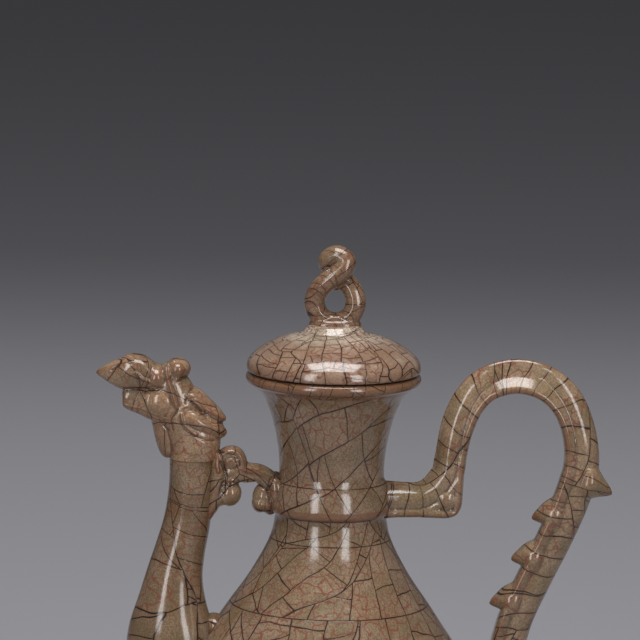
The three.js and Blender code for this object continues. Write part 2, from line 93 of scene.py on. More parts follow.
class Section(Enum):
    """The cross sections of the modelled limbs, as (outward, across) shares of their two half widths."""

    ROUND = oval(16)
    TUBE = oval(24)
    RIBBED = mirrored(
        [
            (1, 0), (1, 0.5), (0.96, 0.88), (0.86, 1.1), (0.72, 1.19), (0.56, 1.12), (0.38, 0.94),
            (0.2, 0.74), (0.02, 0.55), (-0.14, 0.44), (-0.3, 0.39), (-0.46, 0.37), (-0.62, 0.33),
            (-0.8, 0.25), (-0.93, 0.15), (-1, 0),
        ]
    )
    BEAK = mirrored(
        [
            (1, 0), (0.96, 0.3), (0.88, 0.57), (0.75, 0.8), (0.52, 0.96), (0.2, 1.0), (-0.2, 0.97),
            (-0.6, 0.88), (-0.9, 0.74), (-1, 0.4), (-1, 0),
        ]
    )
    BLOCK = mirrored(
        [(1, 0), (0.97, 0.5), (0.84, 0.84), (0.4, 1), (-0.3, 0.98), (-0.76, 0.82), (-0.95, 0.5), (-1, 0)]
    )
    LEAF = mirrored([(1, 0), (0.9, 0.34), (0.55, 0.78), (0.1, 1.0), (-0.4, 0.86), (-0.86, 0.4), (-1, 0)])


def spot(x: float, z: float, y: float = 0.0) -> Vector:
    """A point given in millimetres from the turned axis and the standing plane, in metres in the frame."""
    return Vector((AXIS_X + x * MM, y * MM, z * MM))


def curve_through(knots: list[tuple[float, ...]], steps: int, measured: int = 2) -> np.ndarray:
    """Draws a centripetal spline through a row of knots.

    Args:
        knots: Points, whose first values are a place and whose others go with it.
        steps: Points drawn from one knot to the next.
        measured: How many of the values are the place.

    Returns:
        The points, one a row.
    """
    p = np.array(knots, float)
    p = np.vstack([2 * p[0] - p[1], p, 2 * p[-1] - p[-2]])
    rows = []
    for i in range(1, len(p) - 2):
        p0, p1, p2, p3 = p[i - 1 : i + 3]
        d0, d1, d2 = (
            max(np.linalg.norm((b - a)[:measured]) ** 0.5, 1e-6) for a, b in ((p0, p1), (p1, p2), (p2, p3))
        )
        start = ((p1 - p0) / d0 - (p2 - p0) / (d0 + d1) + (p2 - p1) / d1) * d1
        end = ((p2 - p1) / d1 - (p3 - p1) / (d1 + d2) + (p3 - p2) / d2) * d1
        t = np.linspace(0, 1, steps, endpoint=False)[:, None]
        rows.append(
            (2 * t**3 - 3 * t**2 + 1) * p1
            + (t**3 - 2 * t**2 + t) * start
            + (3 * t**2 - 2 * t**3) * p2
            + (t**3 - t**2) * end
        )
    rows.append(p[-2:-1])
    return np.vstack(rows)


def arc(centre: Point, radii: Point, start: float, end: float, count: int) -> list[Point]:
    """Points round part of an ellipse.

    Args:
        centre: Its middle.
        radii: Its two half axes.
        start: First angle, in degrees from the first axis.
        end: Last angle, in degrees.
        count: Number of points.

    Returns:
        The points.
    """
    turn = [math.radians(start + (end - start) * k / (count - 1)) for k in range(count)]
    return [(centre[0] + radii[0] * math.cos(a), centre[1] + radii[1] * math.sin(a)) for a in turn]


def select_only(piece: bpy.types.Object) -> None:
    """Makes a piece the active object and the only selected one."""
    bpy.ops.object.select_all(action="DESELECT")
    piece.select_set(True)
    bpy.context.view_layer.objects.active = piece


def finish_with(piece: bpy.types.Object, kind: str, **settings: object) -> None:
    """Adds a modifier to a piece and applies it.

    Args:
        piece: The piece.
        kind: The modifier's type.
        **settings: Its settings.
    """
    select_only(piece)
    modifier = piece.modifiers.new(kind.lower(), kind)
    for key, value in settings.items():
        setattr(modifier, key, value)
    bpy.ops.object.modifier_apply(modifier=modifier.name)


def subdivide(piece: bpy.types.Object, levels: int) -> None:
    """Rounds a piece with a subdivision surface."""
    if levels:
        finish_with(piece, "SUBSURF", levels=levels, render_levels=levels)


def cut_away(piece: bpy.types.Object, tool: bpy.types.Object, keep_tool: bool = False) -> None:
    """Cuts one solid out of another.

    Args:
        piece: What is cut.
        tool: The solid taken out of it.
        keep_tool: Whether the tool is used again.
    """
    finish_with(piece, "BOOLEAN", operation="DIFFERENCE", object=tool, solver="MANIFOLD")
    if not keep_tool:
        bpy.data.objects.remove(tool)


def add_on(piece: bpy.types.Object, lump: bpy.types.Object) -> None:
    """Lutes a lump to a piece."""
    finish_with(piece, "BOOLEAN", operation="UNION", object=lump, solver="MANIFOLD")
    bpy.data.objects.remove(lump)


def trim_below(piece: bpy.types.Object, height: float, above: bool = False) -> None:
    """Cuts a piece flat at a height and closes the cut.

    Args:
        piece: The piece.
        height: The cut's height, in metres.
        above: Whether the part above the cut is the one that goes.
    """
    select_only(piece)
    bpy.ops.object.mode_set(mode="EDIT")
    bpy.ops.mesh.select_all(action="SELECT")
    bpy.ops.mesh.bisect(
        plane_co=(0, 0, height), plane_no=(0, 0, 1), use_fill=True, clear_inner=not above, clear_outer=above
    )
    bpy.ops.object.mode_set(mode="OBJECT")


def face_outwards(piece: bpy.types.Object) -> None:
    """Merges a piece's doubles and turns its faces outwards."""
    select_only(piece)
    bpy.ops.object.mode_set(mode="EDIT")
    bpy.ops.mesh.select_all(action="SELECT")
    bpy.ops.mesh.remove_doubles(threshold=1e-6)
    bpy.ops.mesh.normals_make_consistent(inside=False)
    bpy.ops.object.mode_set(mode="OBJECT")


def fuse(name: str, lumps: list[bpy.types.Object], voxel: float, relax: int) -> bpy.types.Object:
    """Presses lumps of clay together into one skin.

    Args:
        name: The new piece's name.
        lumps: Closed solids that overlap.
        voxel: Size of the skin's faces, in metres.
        relax: Rounds of smoothing over the joints.

    Returns:
        The piece.
    """
    bpy.ops.object.select_all(action="DESELECT")
    for lump in lumps:
        lump.select_set(True)
    bpy.context.view_layer.objects.active = lumps[0]
    bpy.ops.object.join()
    piece = lumps[0]
    piece.name = name
    finish_with(piece, "REMESH", mode="VOXEL", voxel_size=voxel)
    finish_with(piece, "SMOOTH", factor=0.5, iterations=relax)
    return piece


def shade(piece: bpy.types.Object, sharp: float = 40.0) -> None:
    """Shades a piece smooth, apart from edges sharper than that many degrees."""
    select_only(piece)
    bpy.ops.object.shade_smooth_by_angle(angle=math.radians(sharp))


@dataclass
class Lathe:
    """A thrown form: a ring drawn up and down through (radius, height) points, in millimetres."""

    profile: list[Point]
    sides: int = 96
    levels: int = 1
    ringed: bool = False

    def build(self, name: str) -> bpy.types.Object:
        """Throws the form.

        Args:
            name: The piece's name.

        Returns:
            The closed piece. A ringed one closes on its first point, and another on its two poles.
        """
        radius, height = self.profile[0]
        bpy.ops.object.select_all(action="DESELECT")
        bpy.ops.mesh.primitive_circle_add(
            vertices=self.sides,
            radius=radius * MM,
            fill_type="NOTHING" if self.ringed else "NGON",
            location=spot(0, height),
        )
        piece = bpy.context.object
        piece.name = name
        bpy.ops.object.transform_apply(location=True, rotation=True, scale=True)
        bpy.ops.object.mode_set(mode="EDIT")
        bpy.ops.mesh.select_all(action="SELECT")
        for r, z in self.profile[1:] + (self.profile[:1] if self.ringed else []):
            bpy.ops.mesh.extrude_region_move(TRANSFORM_OT_translate={"value": (0, 0, (z - height) * MM)})
            share = r / radius
            bpy.ops.transform.resize(value=(share, share, 1), center_override=spot(0, z))
            radius, height = r, z
        bpy.ops.object.mode_set(mode="OBJECT")
        face_outwards(piece)
        subdivide(piece, self.levels)
        return piece


@dataclass
class Limb:
    """A modelled limb in the middle plane.

    Each station is (x, z, half width in the plane, half width across it), in millimetres.
    """

    stations: list[Station]
    section: Section = Section.ROUND
    rings: int = 3
    levels: int = 1

    def line(self) -> np.ndarray:
        """The drawn stations, with the limb's own rings between them."""
        return curve_through(self.stations, self.rings)

    def build(self, name: str) -> bpy.types.Object:
        """Draws the section along the stations by extruding it, turning it and resizing it.

        Args:
            name: The piece's name.

        Returns:
            The closed limb.
        """
        rows = self.line()
        along = np.gradient(rows[:, :2], axis=0)
        angles = np.unwrap(np.arctan2(along[:, 0], along[:, 1]))
        section = self.section.value
        bpy.ops.object.select_all(action="DESELECT")
        bpy.ops.mesh.primitive_circle_add(vertices=len(section), radius=MM, fill_type="NGON")
        piece = bpy.context.object
        piece.name = name
        for vertex, (u, v) in zip(piece.data.vertices, section):
            vertex.co = (u * MM, v * MM, 0)
        bpy.ops.object.mode_set(mode="EDIT")
        bpy.ops.mesh.select_all(action="SELECT")
        centre, turned, wide, deep = Vector((0, 0, 0)), 0.0, 1.0, 1.0
        for count, ((x, z, a, b), angle) in enumerate(zip(rows, angles)):
            a, b = max(a, 0.05), max(b, 0.05)
            place = spot(x, z)
            if count:
                bpy.ops.mesh.extrude_region_move(TRANSFORM_OT_translate={"value": place - centre})
            else:
                bpy.ops.transform.translate(value=place)
            bpy.ops.transform.rotate(value=turned - angle, orient_axis="Y", center_override=place)
            if count:
                bpy.ops.transform.resize(value=(a / wide, b / deep, a / wide), center_override=place)
            else:
                bpy.ops.transform.resize(value=(a, b, a), center_override=place)
            centre, turned, wide, deep = place, angle, a, b
        bpy.ops.mesh.select_all(action="SELECT")
        bpy.ops.mesh.normals_make_consistent(inside=False)
        bpy.ops.object.mode_set(mode="OBJECT")
        subdivide(piece, self.levels)
        return piece


@dataclass
class Pellet:
    """A pressed ball of clay: its centre and its three radii, in millimetres, and its tilt in degrees."""

    centre: tuple[float, float, float]
    radii: tuple[float, float, float]
    tilt: float = 0.0

    def build(self, name: str) -> bpy.types.Object:
        """Rolls the ball and presses it to its radii.

        Args:
            name: The piece's name.

        Returns:
            The closed ball.
        """
        x, y, z = self.centre
        bpy.ops.object.select_all(action="DESELECT")
        bpy.ops.mesh.primitive_uv_sphere_add(segments=32, ring_count=20, radius=MM)
        piece = bpy.context.object
        piece.name = name
        bpy.ops.object.mode_set(mode="EDIT")
        bpy.ops.mesh.select_all(action="SELECT")
        bpy.ops.transform.resize(value=self.radii, center_override=(0, 0, 0))
        bpy.ops.transform.rotate(value=-math.radians(self.tilt), orient_axis="Y", center_override=(0, 0, 0))
        bpy.ops.transform.translate(value=spot(x, z, y))
        bpy.ops.object.mode_set(mode="OBJECT")
        return piece


@dataclass
class Rope:
    """A roll of clay bent along points (x, y, z), in millimetres."""

    points: list[tuple[float, float, float]]
    radius: float

    def line(self) -> np.ndarray:
        """The roll's centre line, in millimetres."""
        return curve_through(self.points, 8, measured=3)

    def build(self, name: str) -> bpy.types.Object:
        """Draws the roll as a curve with a round section and makes a mesh of it.

        Args:
            name: The piece's name.

        Returns:
            The closed roll.
        """
        line = self.line()
        data = bpy.data.curves.new(name, "CURVE")
        data.dimensions = "3D"
        data.bevel_depth = self.radius * MM
        data.bevel_resolution = 6
        data.use_fill_caps = True
        spline = data.splines.new("POLY")
        spline.points.add(len(line) - 1)
        for target, (x, y, z) in zip(spline.points, line):
            target.co = (*spot(x, z, y), 1.0)
        piece = bpy.data.objects.new(name, data)
        bpy.context.scene.collection.objects.link(piece)
        select_only(piece)
        bpy.ops.object.convert(target="MESH")
        piece = bpy.context.object
        face_outwards(piece)
        return piece


def corners(piece: bpy.types.Object) -> np.ndarray:
    """A mesh's vertices, one a row."""
    found = np.empty(len(piece.data.vertices) * 3)
    piece.data.vertices.foreach_get("co", found)
    return found.reshape(-1, 3)


def normals(piece: bpy.types.Object) -> np.ndarray:
    """A mesh's vertex normals, one a row."""
    found = np.empty(len(piece.data.vertices) * 3)
    piece.data.vertex_normals.foreach_get("vector", found)
    return found.reshape(-1, 3)


@dataclass
class Tooling:
    """Lines drawn in the wet clay on both sides of a piece: ridges stand out and grooves are cut in."""

    lines: list[list[Point]]
    half_width: float
    height: float
    facing: float = 0.25
    side: int = 0

    def press(self, piece: bpy.types.Object) -> None:
        """Displaces the piece along its normals near the lines.

        Args:
            piece: The piece to be tooled.
        """
        co = corners(piece)
        flat = np.stack([(co[:, 0] - AXIS_X) / MM, co[:, 2] / MM], axis=1)
        near = np.full(len(flat), 1e9)
        for line in self.lines:
            for px, pz in curve_through(line, 12):
                near = np.minimum(near, np.hypot(flat[:, 0] - px, flat[:, 1] - pz))
        weight = np.where(near < self.half_width, np.cos(near / self.half_width * math.pi / 2) ** 2, 0)
        across = normals(piece)[:, 1]
        weight *= np.clip(((self.side * across if self.side else np.abs(across)) - self.facing) / 0.3, 0, 1)
        group = piece.vertex_groups.new(name="tooling")
        for index in np.nonzero(weight > 0.01)[0]:
            group.add([int(index)], float(weight[index]), "REPLACE")
        strength = self.height * MM
        finish_with(
            piece, "DISPLACE", vertex_group=group.name, direction="NORMAL", mid_level=0.0, strength=strength
        )
        piece.vertex_groups.clear()


def mark_stain_and_shade(piece: bpy.types.Object, reach: float, full: float) -> None:
    """Writes how ridged each point is: ridges get the brown of thin glaze, and hollows get painted shade.

    Args:
        piece: The piece.
        reach: How far from a point its surroundings are taken, in metres.
        full: The height over its surroundings, in metres, that counts as a full ridge.
    """
    co = corners(piece)
    edges = np.empty(len(piece.data.edges) * 2, np.int64)
    piece.data.edges.foreach_get("vertices", edges)
    a, b = edges.reshape(-1, 2).T
    count = np.bincount(np.concatenate([a, b]), minlength=len(co)).astype(float)
    count[count == 0] = 1
    step = np.median(np.linalg.norm(co[a] - co[b], axis=1))
    smooth = co.copy()
    for _ in range(int(min(max((reach / step) ** 2, 4), 120))):
        total = np.empty_like(smooth)
        for axis in range(3):
            total[:, axis] = np.bincount(a, smooth[b, axis], len(co))
            total[:, axis] += np.bincount(b, smooth[a, axis], len(co))
        smooth = 0.3 * smooth + 0.7 * total / count[:, None]
    ridge = np.einsum("ij,ij->i", co - smooth, normals(piece)) / full
    # One value per point: above zero it browns the ridges, below zero it paints shade into the hollows.
    stain_and_shade = piece.data.attributes.new("stain_and_shade", "FLOAT", "POINT")
    stain_and_shade.data.foreach_set("value", np.clip(ridge, -1, 1).astype(np.float32))


def unroll(piece: bpy.types.Object, around: np.ndarray, up: np.ndarray, half_way: float) -> None:
    """Lays the glaze pattern's own UV map on a piece, in metres.

    Args:
        piece: The piece.
        around: Each vertex's way round the piece.
        up: Each vertex's way along it.
        half_way: Half the way round, at which the map meets itself, or 0 where it doesn't.
    """
    mesh = piece.data
    owner = np.empty(len(mesh.loops), np.int64)
    mesh.loops.foreach_get("vertex_index", owner)
    u, v = around[owner].copy(), up[owner]
    if half_way:
        starts = np.empty(len(mesh.polygons), np.int64)
        mesh.polygons.foreach_get("loop_start", starts)
        sizes = np.diff(np.append(starts, len(owner)))
        first = np.repeat(u[starts], sizes)
        u += np.round((first - u) / (2 * half_way)) * 2 * half_way
    for layer in list(mesh.uv_layers):
        mesh.uv_layers.remove(layer)
    layer = mesh.uv_layers.new(name="glaze")
    layer.data.foreach_set("uv", np.stack([u, v], axis=1).astype(np.float32).ravel())


def way_up(outline: np.ndarray, radius: float) -> np.ndarray:
    """How far up the glaze map each point of a turned outline lies.

    Args:
        outline: (radius, height) points, in metres.
        radius: The radius at which the pattern has its true width, in metres.

    Returns:
        The ways up, in metres, stretched where the piece is narrow so that the pattern keeps its shape.
    """
    steps = np.linalg.norm(np.diff(outline, axis=0), axis=1)
    middle = (outline[1:, 0] + outline[:-1, 0]) / 2
    return np.concatenate([[0], np.cumsum(steps * np.sqrt(radius / np.maximum(middle, radius / 4)))])


def unroll_lathe(piece: bpy.types.Object, radius: float, outline: np.ndarray) -> None:
    """Unrolls the glaze of a thrown piece.

    Args:
        piece: The piece.
        radius: The radius at which the pattern has its true width, in metres.
        outline: The piece's (radius, height) outline, in metres, along which the way up is measured.
    """
    co = corners(piece)
    theta = np.arctan2(co[:, 1], co[:, 0] - AXIS_X)
    away = np.hypot(co[:, 1], co[:, 0] - AXIS_X)
    lengths = way_up(outline, radius)
    nearest = np.array(
        [np.argmin((outline[:, 0] - r) ** 2 + (outline[:, 1] - z) ** 2) for r, z in zip(away, co[:, 2])]
    )
    ahead = np.clip(nearest + 1, 0, len(outline) - 1)
    behind = np.clip(nearest - 1, 0, len(outline) - 1)
    chord = outline[ahead] - outline[behind]
    span = np.maximum((chord**2).sum(axis=1), 1e-12)
    offset = np.stack([away, co[:, 2]], axis=1) - outline[behind]
    share = np.clip((offset * chord).sum(axis=1) / span, 0, 1)
    up = lengths[behind] + share * (lengths[ahead] - lengths[behind])
    unroll(piece, theta * radius, up, math.pi * radius)


def unroll_limb(piece: bpy.types.Object, radius: float, line: np.ndarray) -> None:
    """Unrolls the glaze of a limb.

    Args:
        piece: The piece.
        radius: The limb's mean radius, in metres.
        line: Its centre line, as (x, z) in millimetres from the turned axis.
    """
    co = corners(piece)
    path = np.stack([AXIS_X + line[:, 0] * MM, line[:, 1] * MM], axis=1)
    along = np.gradient(path, axis=0)
    along /= np.linalg.norm(along, axis=1)[:, None]
    lengths = np.concatenate([[0], np.cumsum(np.linalg.norm(np.diff(path, axis=0), axis=1))])
    flat = co[:, [0, 2]]
    nearest = np.empty(len(co), np.int64)
    for start in range(0, len(co), 20000):
        gaps = ((flat[start : start + 20000, None, :] - path[None]) ** 2).sum(axis=2)
        nearest[start : start + 20000] = gaps.argmin(axis=1)
    offset = flat - path[nearest]
    up = lengths[nearest] + (offset * along[nearest]).sum(axis=1)
    outward = np.stack([along[nearest, 1], -along[nearest, 0]], axis=1)
    angle = np.arctan2((offset * outward).sum(axis=1), -co[:, 1])
    unroll(piece, angle * radius, up, math.pi * radius)


def unroll_side(piece: bpy.types.Object, slant: float = 0.45, rise: float = 0.25) -> None:
    """Lays the glaze pattern on a modelled piece from its side, slanted so that it runs over the edges."""
    co = corners(piece)
    unroll(piece, co[:, 0] + slant * co[:, 1], co[:, 2] + rise * co[:, 1], 0.0)


class Graph:
    """Builds a material's nodes one after another."""

    def __init__(self, name: str) -> None:
        """Makes an empty material."""
        self.material = bpy.data.materials.new(name)
        self.material.use_nodes = True
        self.tree = self.material.node_tree
        self.tree.nodes.clear()

    def node(self, kind: str, feeds: dict | None = None, **settings: object) -> bpy.types.Node:
        """Adds a node.

        Args:
            kind: The node's type, without ShaderNode in front.
            feeds: Values or sockets for its inputs, by name or number.
            **settings: The node's own settings.

        Returns:
            The node.
        """
        made = self.tree.nodes.new("ShaderNode" + kind)
        for key, value in settings.items():
            setattr(made, key, value)
        for key, value in (feeds or {}).items():
            if isinstance(value, bpy.types.NodeSocket):
                self.tree.links.new(value, made.inputs[key])
            else:
                made.inputs[key].default_value = value
        return made

    def math(self, operation: str, *values: object) -> bpy.types.NodeSocket:
        """Adds a Math node and gives its output."""
        return self.node("Math", dict(enumerate(values)), operation=operation).outputs[0]

    def vector(self, operation: str, *values: object) -> bpy.types.NodeSocket:
        """Adds a Vector Math node and gives its first output."""
        return self.node("VectorMath", dict(enumerate(values)), operation=operation).outputs[0]

    def noise(self, place: bpy.types.NodeSocket, size: float, detail: float = 2.0) -> bpy.types.Node:
        """Adds soft noise whose lumps are about that size, in metres."""
        return self.node("TexNoise", {"Vector": place, "Scale": 1 / size, "Detail": detail})

    def cells(self, place: bpy.types.NodeSocket, size: float, feature: str) -> bpy.types.Node:
        """Adds flat Voronoi cells of that size, in metres."""
        return self.node(
            "TexVoronoi", {"Vector": place, "Scale": 1 / size}, feature=feature, voronoi_dimensions="2D"
        )

    def fade(
        self, value: object, low: object, high: object, first: float, last: float
    ) -> bpy.types.NodeSocket:
        """Goes smoothly from first at low to last at high."""
        feeds = {"Value": value, "From Min": low, "From Max": high, "To Min": first, "To Max": last}
        return self.node("MapRange", feeds, interpolation_type="SMOOTHSTEP").outputs["Result"]

    def mix(self, factor: object, first: object, second: object) -> bpy.types.NodeSocket:
        """Mixes two colours."""
        made = self.node("Mix", {0: factor}, data_type="RGBA")
        for number, value in ((6, first), (7, second)):
            if isinstance(value, tuple):
                made.inputs[number].default_value = (*value, 1.0)
            else:
                self.tree.links.new(value, made.inputs[number])
        return made.outputs[2]


@dataclass(frozen=True)
class Crackle:
    """The sizes of the crackle on one piece, in metres along its own UV map.

    net is the size of the cells between the longest cracks. strip and rung are the pitches of the cracks
    inside a cell, lean is how far these turn from cell to cell, in radians, and crossed is the share of
    cells in which they are turned by a quarter. A squeeze below 1 widens the pattern across the map, and
    spurs is the share of shards that are split once more. rust is the size of the rusty cells, and rusty
    is how widely they show. seam is half the way round the piece. rings are the ways up at which a crack
    goes right round it. turned gives ways up above which the pattern is turned by an angle and scaled.
    worn gives the way up and the reach of edges where the glaze is thin.
    """

    net: float
    strip: float
    rung: float
    lean: float = 0.35
    squeeze: float = 1.0
    crossed: float = 0.15
    spurs: float = 0.45
    rust: float = 0.0042
    rusty: float = 0.7
    seam: float = 0.0
    shift: tuple[float, float] = (0.0, 0.0)
    rings: tuple[float, ...] = ()
    turned: tuple[tuple[float, float, float], ...] = ()
    worn: tuple[Point, ...] = ()


@dataclass(frozen=True)
class CrackleGlaze:
    """A glossy buff glaze. Long dark cracks run first, shorter ones meet them, and rusty ones lie between."""

    name: str
    crackle: Crackle
    pale: tuple[float, float, float] = (0.229, 0.157, 0.104)
    olive: tuple[float, float, float] = (0.162, 0.115, 0.067)
    warm: tuple[float, float, float] = (0.190, 0.112, 0.065)
    brown: tuple[float, float, float] = (0.150, 0.066, 0.031)
    rust: tuple[float, float, float] = (0.158, 0.056, 0.034)
    ink: tuple[float, float, float] = (0.012, 0.009, 0.009)
    # Painted shade: the near-black colour laid into hollows, grooves and creases.
    hollow_shade: tuple[float, float, float] = (0.050, 0.030, 0.020)
    line: float = 0.00023
    halo: float = 0.0011
    thinness: float = 0.8
    ior: float = 1.48
    coat: float = 0.2
    coat_roughness: float = 0.06

    def build(self) -> bpy.types.Material:
        """Makes the material.

        Returns:
            The node-based material.
        """
        g = Graph(self.name)
        c = self.crackle
        solid_place = g.node("TexCoord").outputs["Object"]
        flat_place = g.node("UVMap", uv_map="glaze").outputs["UV"]
        place, raw = self.bend(g, solid_place, flat_place)
        dark, cell_id = self.dark_cracks(g, place, raw)
        ground = self.ground(g, solid_place, cell_id)
        # Ridges are browned by thin glaze here, and hollows get painted shade.
        stained_and_shaded = self.stain_and_shade(g, solid_place, flat_place, ground)
        region = g.noise(solid_place, 0.021, 1.0).outputs["Fac"]
        region = g.fade(region, 0.6 - 0.3 * c.rusty, 0.66 - 0.2 * c.rusty, 0.1, 1.0)
        rusty = g.math("MULTIPLY", self.rust_cracks(g, place, solid_place, cell_id), region)
        colour = g.mix(g.math("MULTIPLY", rusty, 0.92), stained_and_shaded, self.rust)
        colour = g.mix(g.fade(dark, 0.0, self.halo, 0.34, 0.0), colour, self.brown)
        strength = g.fade(g.noise(solid_place, 0.009, 1.0).outputs["Fac"], 0.25, 0.6, 0.82, 0.98)
        width = g.noise(solid_place, 0.006, 1.0).outputs["Fac"]
        width = g.fade(width, 0.3, 0.7, 0.8 * self.line, 1.25 * self.line)
        crack = g.fade(dark, g.math("MULTIPLY", width, 0.45), g.math("MULTIPLY", width, 1.35), 1.0, 0.0)
        colour = g.mix(g.math("MULTIPLY", crack, strength), colour, self.ink)

        swell = g.noise(solid_place, 0.007, 2.0).outputs["Fac"]
        grain = g.noise(solid_place, 0.0007, 2.0).outputs["Fac"]
        height = g.math("MULTIPLY_ADD", grain, 0.06, g.math("MULTIPLY_ADD", crack, -0.12, swell))
        bump = g.node("Bump", {"Strength": 0.35, "Distance": 0.0003, "Height": height})
        rough = g.fade(swell, 0.3, 0.7, 0.12, 0.18)
        feeds = {"Base Color": colour, "Normal": bump.outputs[0], "Roughness": rough}
        shader = g.node("BsdfPrincipled", feeds)
        shader.inputs["IOR"].default_value = self.ior
        shader.inputs["Coat Weight"].default_value = self.coat
        shader.inputs["Coat Roughness"].default_value = self.coat_roughness
        g.node("OutputMaterial", {"Surface": shader.outputs[0]})
        return g.material

    def bend(self, g: Graph, solid: bpy.types.NodeSocket, flat: bpy.types.NodeSocket) -> tuple:
        """Bends the flat pattern so that its cracks run in long curves.

        Args:
            g: The material's graph.
            solid: Object coordinates.
            flat: The piece's own UV map.

        Returns:
            The bent place, turned and scaled above the piece's turning heights, and the unbent one.
        """
        c = self.crackle
        long = g.vector("SUBTRACT", g.noise(solid, 1.1 * c.net, 1.0).outputs["Color"], (0.5, 0.5, 0.5))
        short = g.vector("SUBTRACT", g.noise(solid, 0.2 * c.net, 1.0).outputs["Color"], (0.5, 0.5, 0.5))
        bent = g.vector("MULTIPLY_ADD", long, (0.55 * c.net,) * 3, flat)
        bent = g.vector("MULTIPLY_ADD", short, (0.045 * c.net,) * 3, bent)
        bent = g.vector("ADD", bent, (*c.shift, 0.0))
        unturned = bent
        for height, angle, scale in c.turned:
            above = g.math("GREATER_THAN", g.node("SeparateXYZ", {0: flat}).outputs[1], height)
            other = g.node("VectorRotate", {"Vector": unturned, "Angle": angle}, rotation_type="Z_AXIS")
            bent = g.mix(above, bent, g.vector("MULTIPLY", other.outputs[0], (scale, scale, 0.0)))
        return g.vector("MULTIPLY", bent, (c.squeeze, 1.0, 0.0)), flat

    def dark_cracks(self, g: Graph, place: bpy.types.NodeSocket, raw: bpy.types.NodeSocket) -> tuple:
        """Lays out the dark cracks, each kind inside what the one before left whole.

        Args:
            g: The material's graph.
            place: The bent place.
            raw: The unbent place.

        Returns:
            The distance to the nearest crack, in metres, and a random colour for each shard of glaze.
        """
        c = self.crackle
        edge = g.math("MULTIPLY", g.cells(place, c.net, "DISTANCE_TO_EDGE").outputs["Distance"], c.net)
        cell = g.cells(place, c.net, "F1")
        hashes = g.node("SeparateColor", {0: cell.outputs["Color"]}).outputs
        inside = g.vector("SUBTRACT", place, cell.outputs["Position"])
        lean = g.fade(hashes[0], 0.0, 1.0, -c.lean, c.lean)
        crossed = g.math("MULTIPLY", g.math("LESS_THAN", hashes[1], c.crossed), math.pi / 2)
        angle = g.math("ADD", lean, crossed)
        turned = g.node("VectorRotate", {"Vector": inside, "Angle": angle}, rotation_type="Z_AXIS")
        local = g.node("SeparateXYZ", {0: turned.outputs[0]}).outputs
        strip_edge, strip_share, strip_id = self.ladder(g, local[0], c.strip, hashes[2])
        feeds = {"Vector": cell.outputs["Color"], "W": strip_id}
        strip_hash = g.node("TexWhiteNoise", feeds, noise_dimensions="4D")
        rung_edge, rung_share, rung_id = self.ladder(g, local[1], c.rung, strip_hash.outputs["Value"])
        feeds = {"Vector": strip_hash.outputs["Color"], "W": rung_id}
        shard = g.node("TexWhiteNoise", feeds, noise_dimensions="4D")
        spur_edge = self.spur(g, strip_share, rung_share, shard.outputs["Color"])
        nearest = edge
        for other in (strip_edge, rung_edge, spur_edge):
            nearest = g.math("MINIMUM", nearest, other)
        flat = g.node("SeparateXYZ", {0: raw}).outputs
        if c.seam:
            seam = g.math("ABSOLUTE", g.math("SUBTRACT", g.math("ABSOLUTE", flat[0]), c.seam))
            nearest = g.math("MINIMUM", nearest, seam)
        for ring in c.rings:
            nearest = g.math("MINIMUM", nearest, g.math("ABSOLUTE", g.math("SUBTRACT", flat[1], ring)))
        return nearest, shard.outputs["Color"]

    def ladder(
        self, g: Graph, along: bpy.types.NodeSocket, pitch: float, shift: bpy.types.NodeSocket
    ) -> tuple:
        """Divides a line evenly.

        Args:
            g: The material's graph.
            along: The place on the line, in metres.
            pitch: The distance between two cracks.
            shift: A random share of the pitch, by which the cracks are moved.

        Returns:
            The distance to the nearest crack, the share of the way across, and the division's number.
        """
        count = g.math("ADD", g.math("MULTIPLY", along, 1 / pitch), g.math("MULTIPLY", shift, 7.0))
        share = g.math("FRACT", count)
        off = g.math("ABSOLUTE", g.math("SUBTRACT", share, 0.5))
        return g.math("MULTIPLY", g.math("SUBTRACT", 0.5, off), pitch), share, g.math("FLOOR", count)

    def spur(self, g: Graph, across: object, along: object, random: object) -> bpy.types.NodeSocket:
        """Splits some shards once more, at any angle.

        Args:
            g: The material's graph.
            across: The share of the way across the shard.
            along: The share of the way along it.
            random: The shard's random colour.

        Returns:
            The distance to that crack, in metres.
        """
        c = self.crackle
        x = g.math("MULTIPLY", g.math("SUBTRACT", across, 0.5), c.strip)
        y = g.math("MULTIPLY", g.math("SUBTRACT", along, 0.5), c.rung)
        pick = g.node("SeparateColor", {0: random}).outputs
        angle = g.math("MULTIPLY", pick[0], math.pi)
        x = g.math("MULTIPLY", x, g.math("COSINE", angle))
        turned = g.math("ADD", x, g.math("MULTIPLY", y, g.math("SINE", angle)))
        moved = g.math("ADD", turned, g.math("MULTIPLY", g.math("SUBTRACT", pick[1], 0.5), 0.3 * c.strip))
        return g.math("ADD", g.math("ABSOLUTE", moved), g.math("GREATER_THAN", pick[2], c.spurs))

    def rust_cracks(self, g: Graph, place: object, solid: object, random: object) -> bpy.types.NodeSocket:
        """Draws the fine rusty network, broken here and there.

        Args:
            g: The material's graph.
            place: The bent place.
            solid: Object coordinates.
            random: The shard's random colour, which gives each shard a network of its own.

        Returns:
            How rusty the place is, from 0 to 1.
        """
        c = self.crackle
        wobble = g.vector("SUBTRACT", g.noise(solid, 0.0025, 2.0).outputs["Color"], (0.5, 0.5, 0.5))
        own = g.vector("MULTIPLY_ADD", random, (0.9, 0.9, 0.9), place)
        own = g.vector("MULTIPLY_ADD", wobble, (0.003, 0.003, 0.0), own)
        edge = g.math("MULTIPLY", g.cells(own, c.rust, "DISTANCE_TO_EDGE").outputs["Distance"], c.rust)
        line = g.fade(edge, 0.00006, 0.00046, 1.0, 0.0)
        broken = g.fade(g.noise(solid, 0.0034, 2.0).outputs["Fac"], 0.31, 0.5, 0.1, 1.0)
        return g.math("MULTIPLY", line, broken)

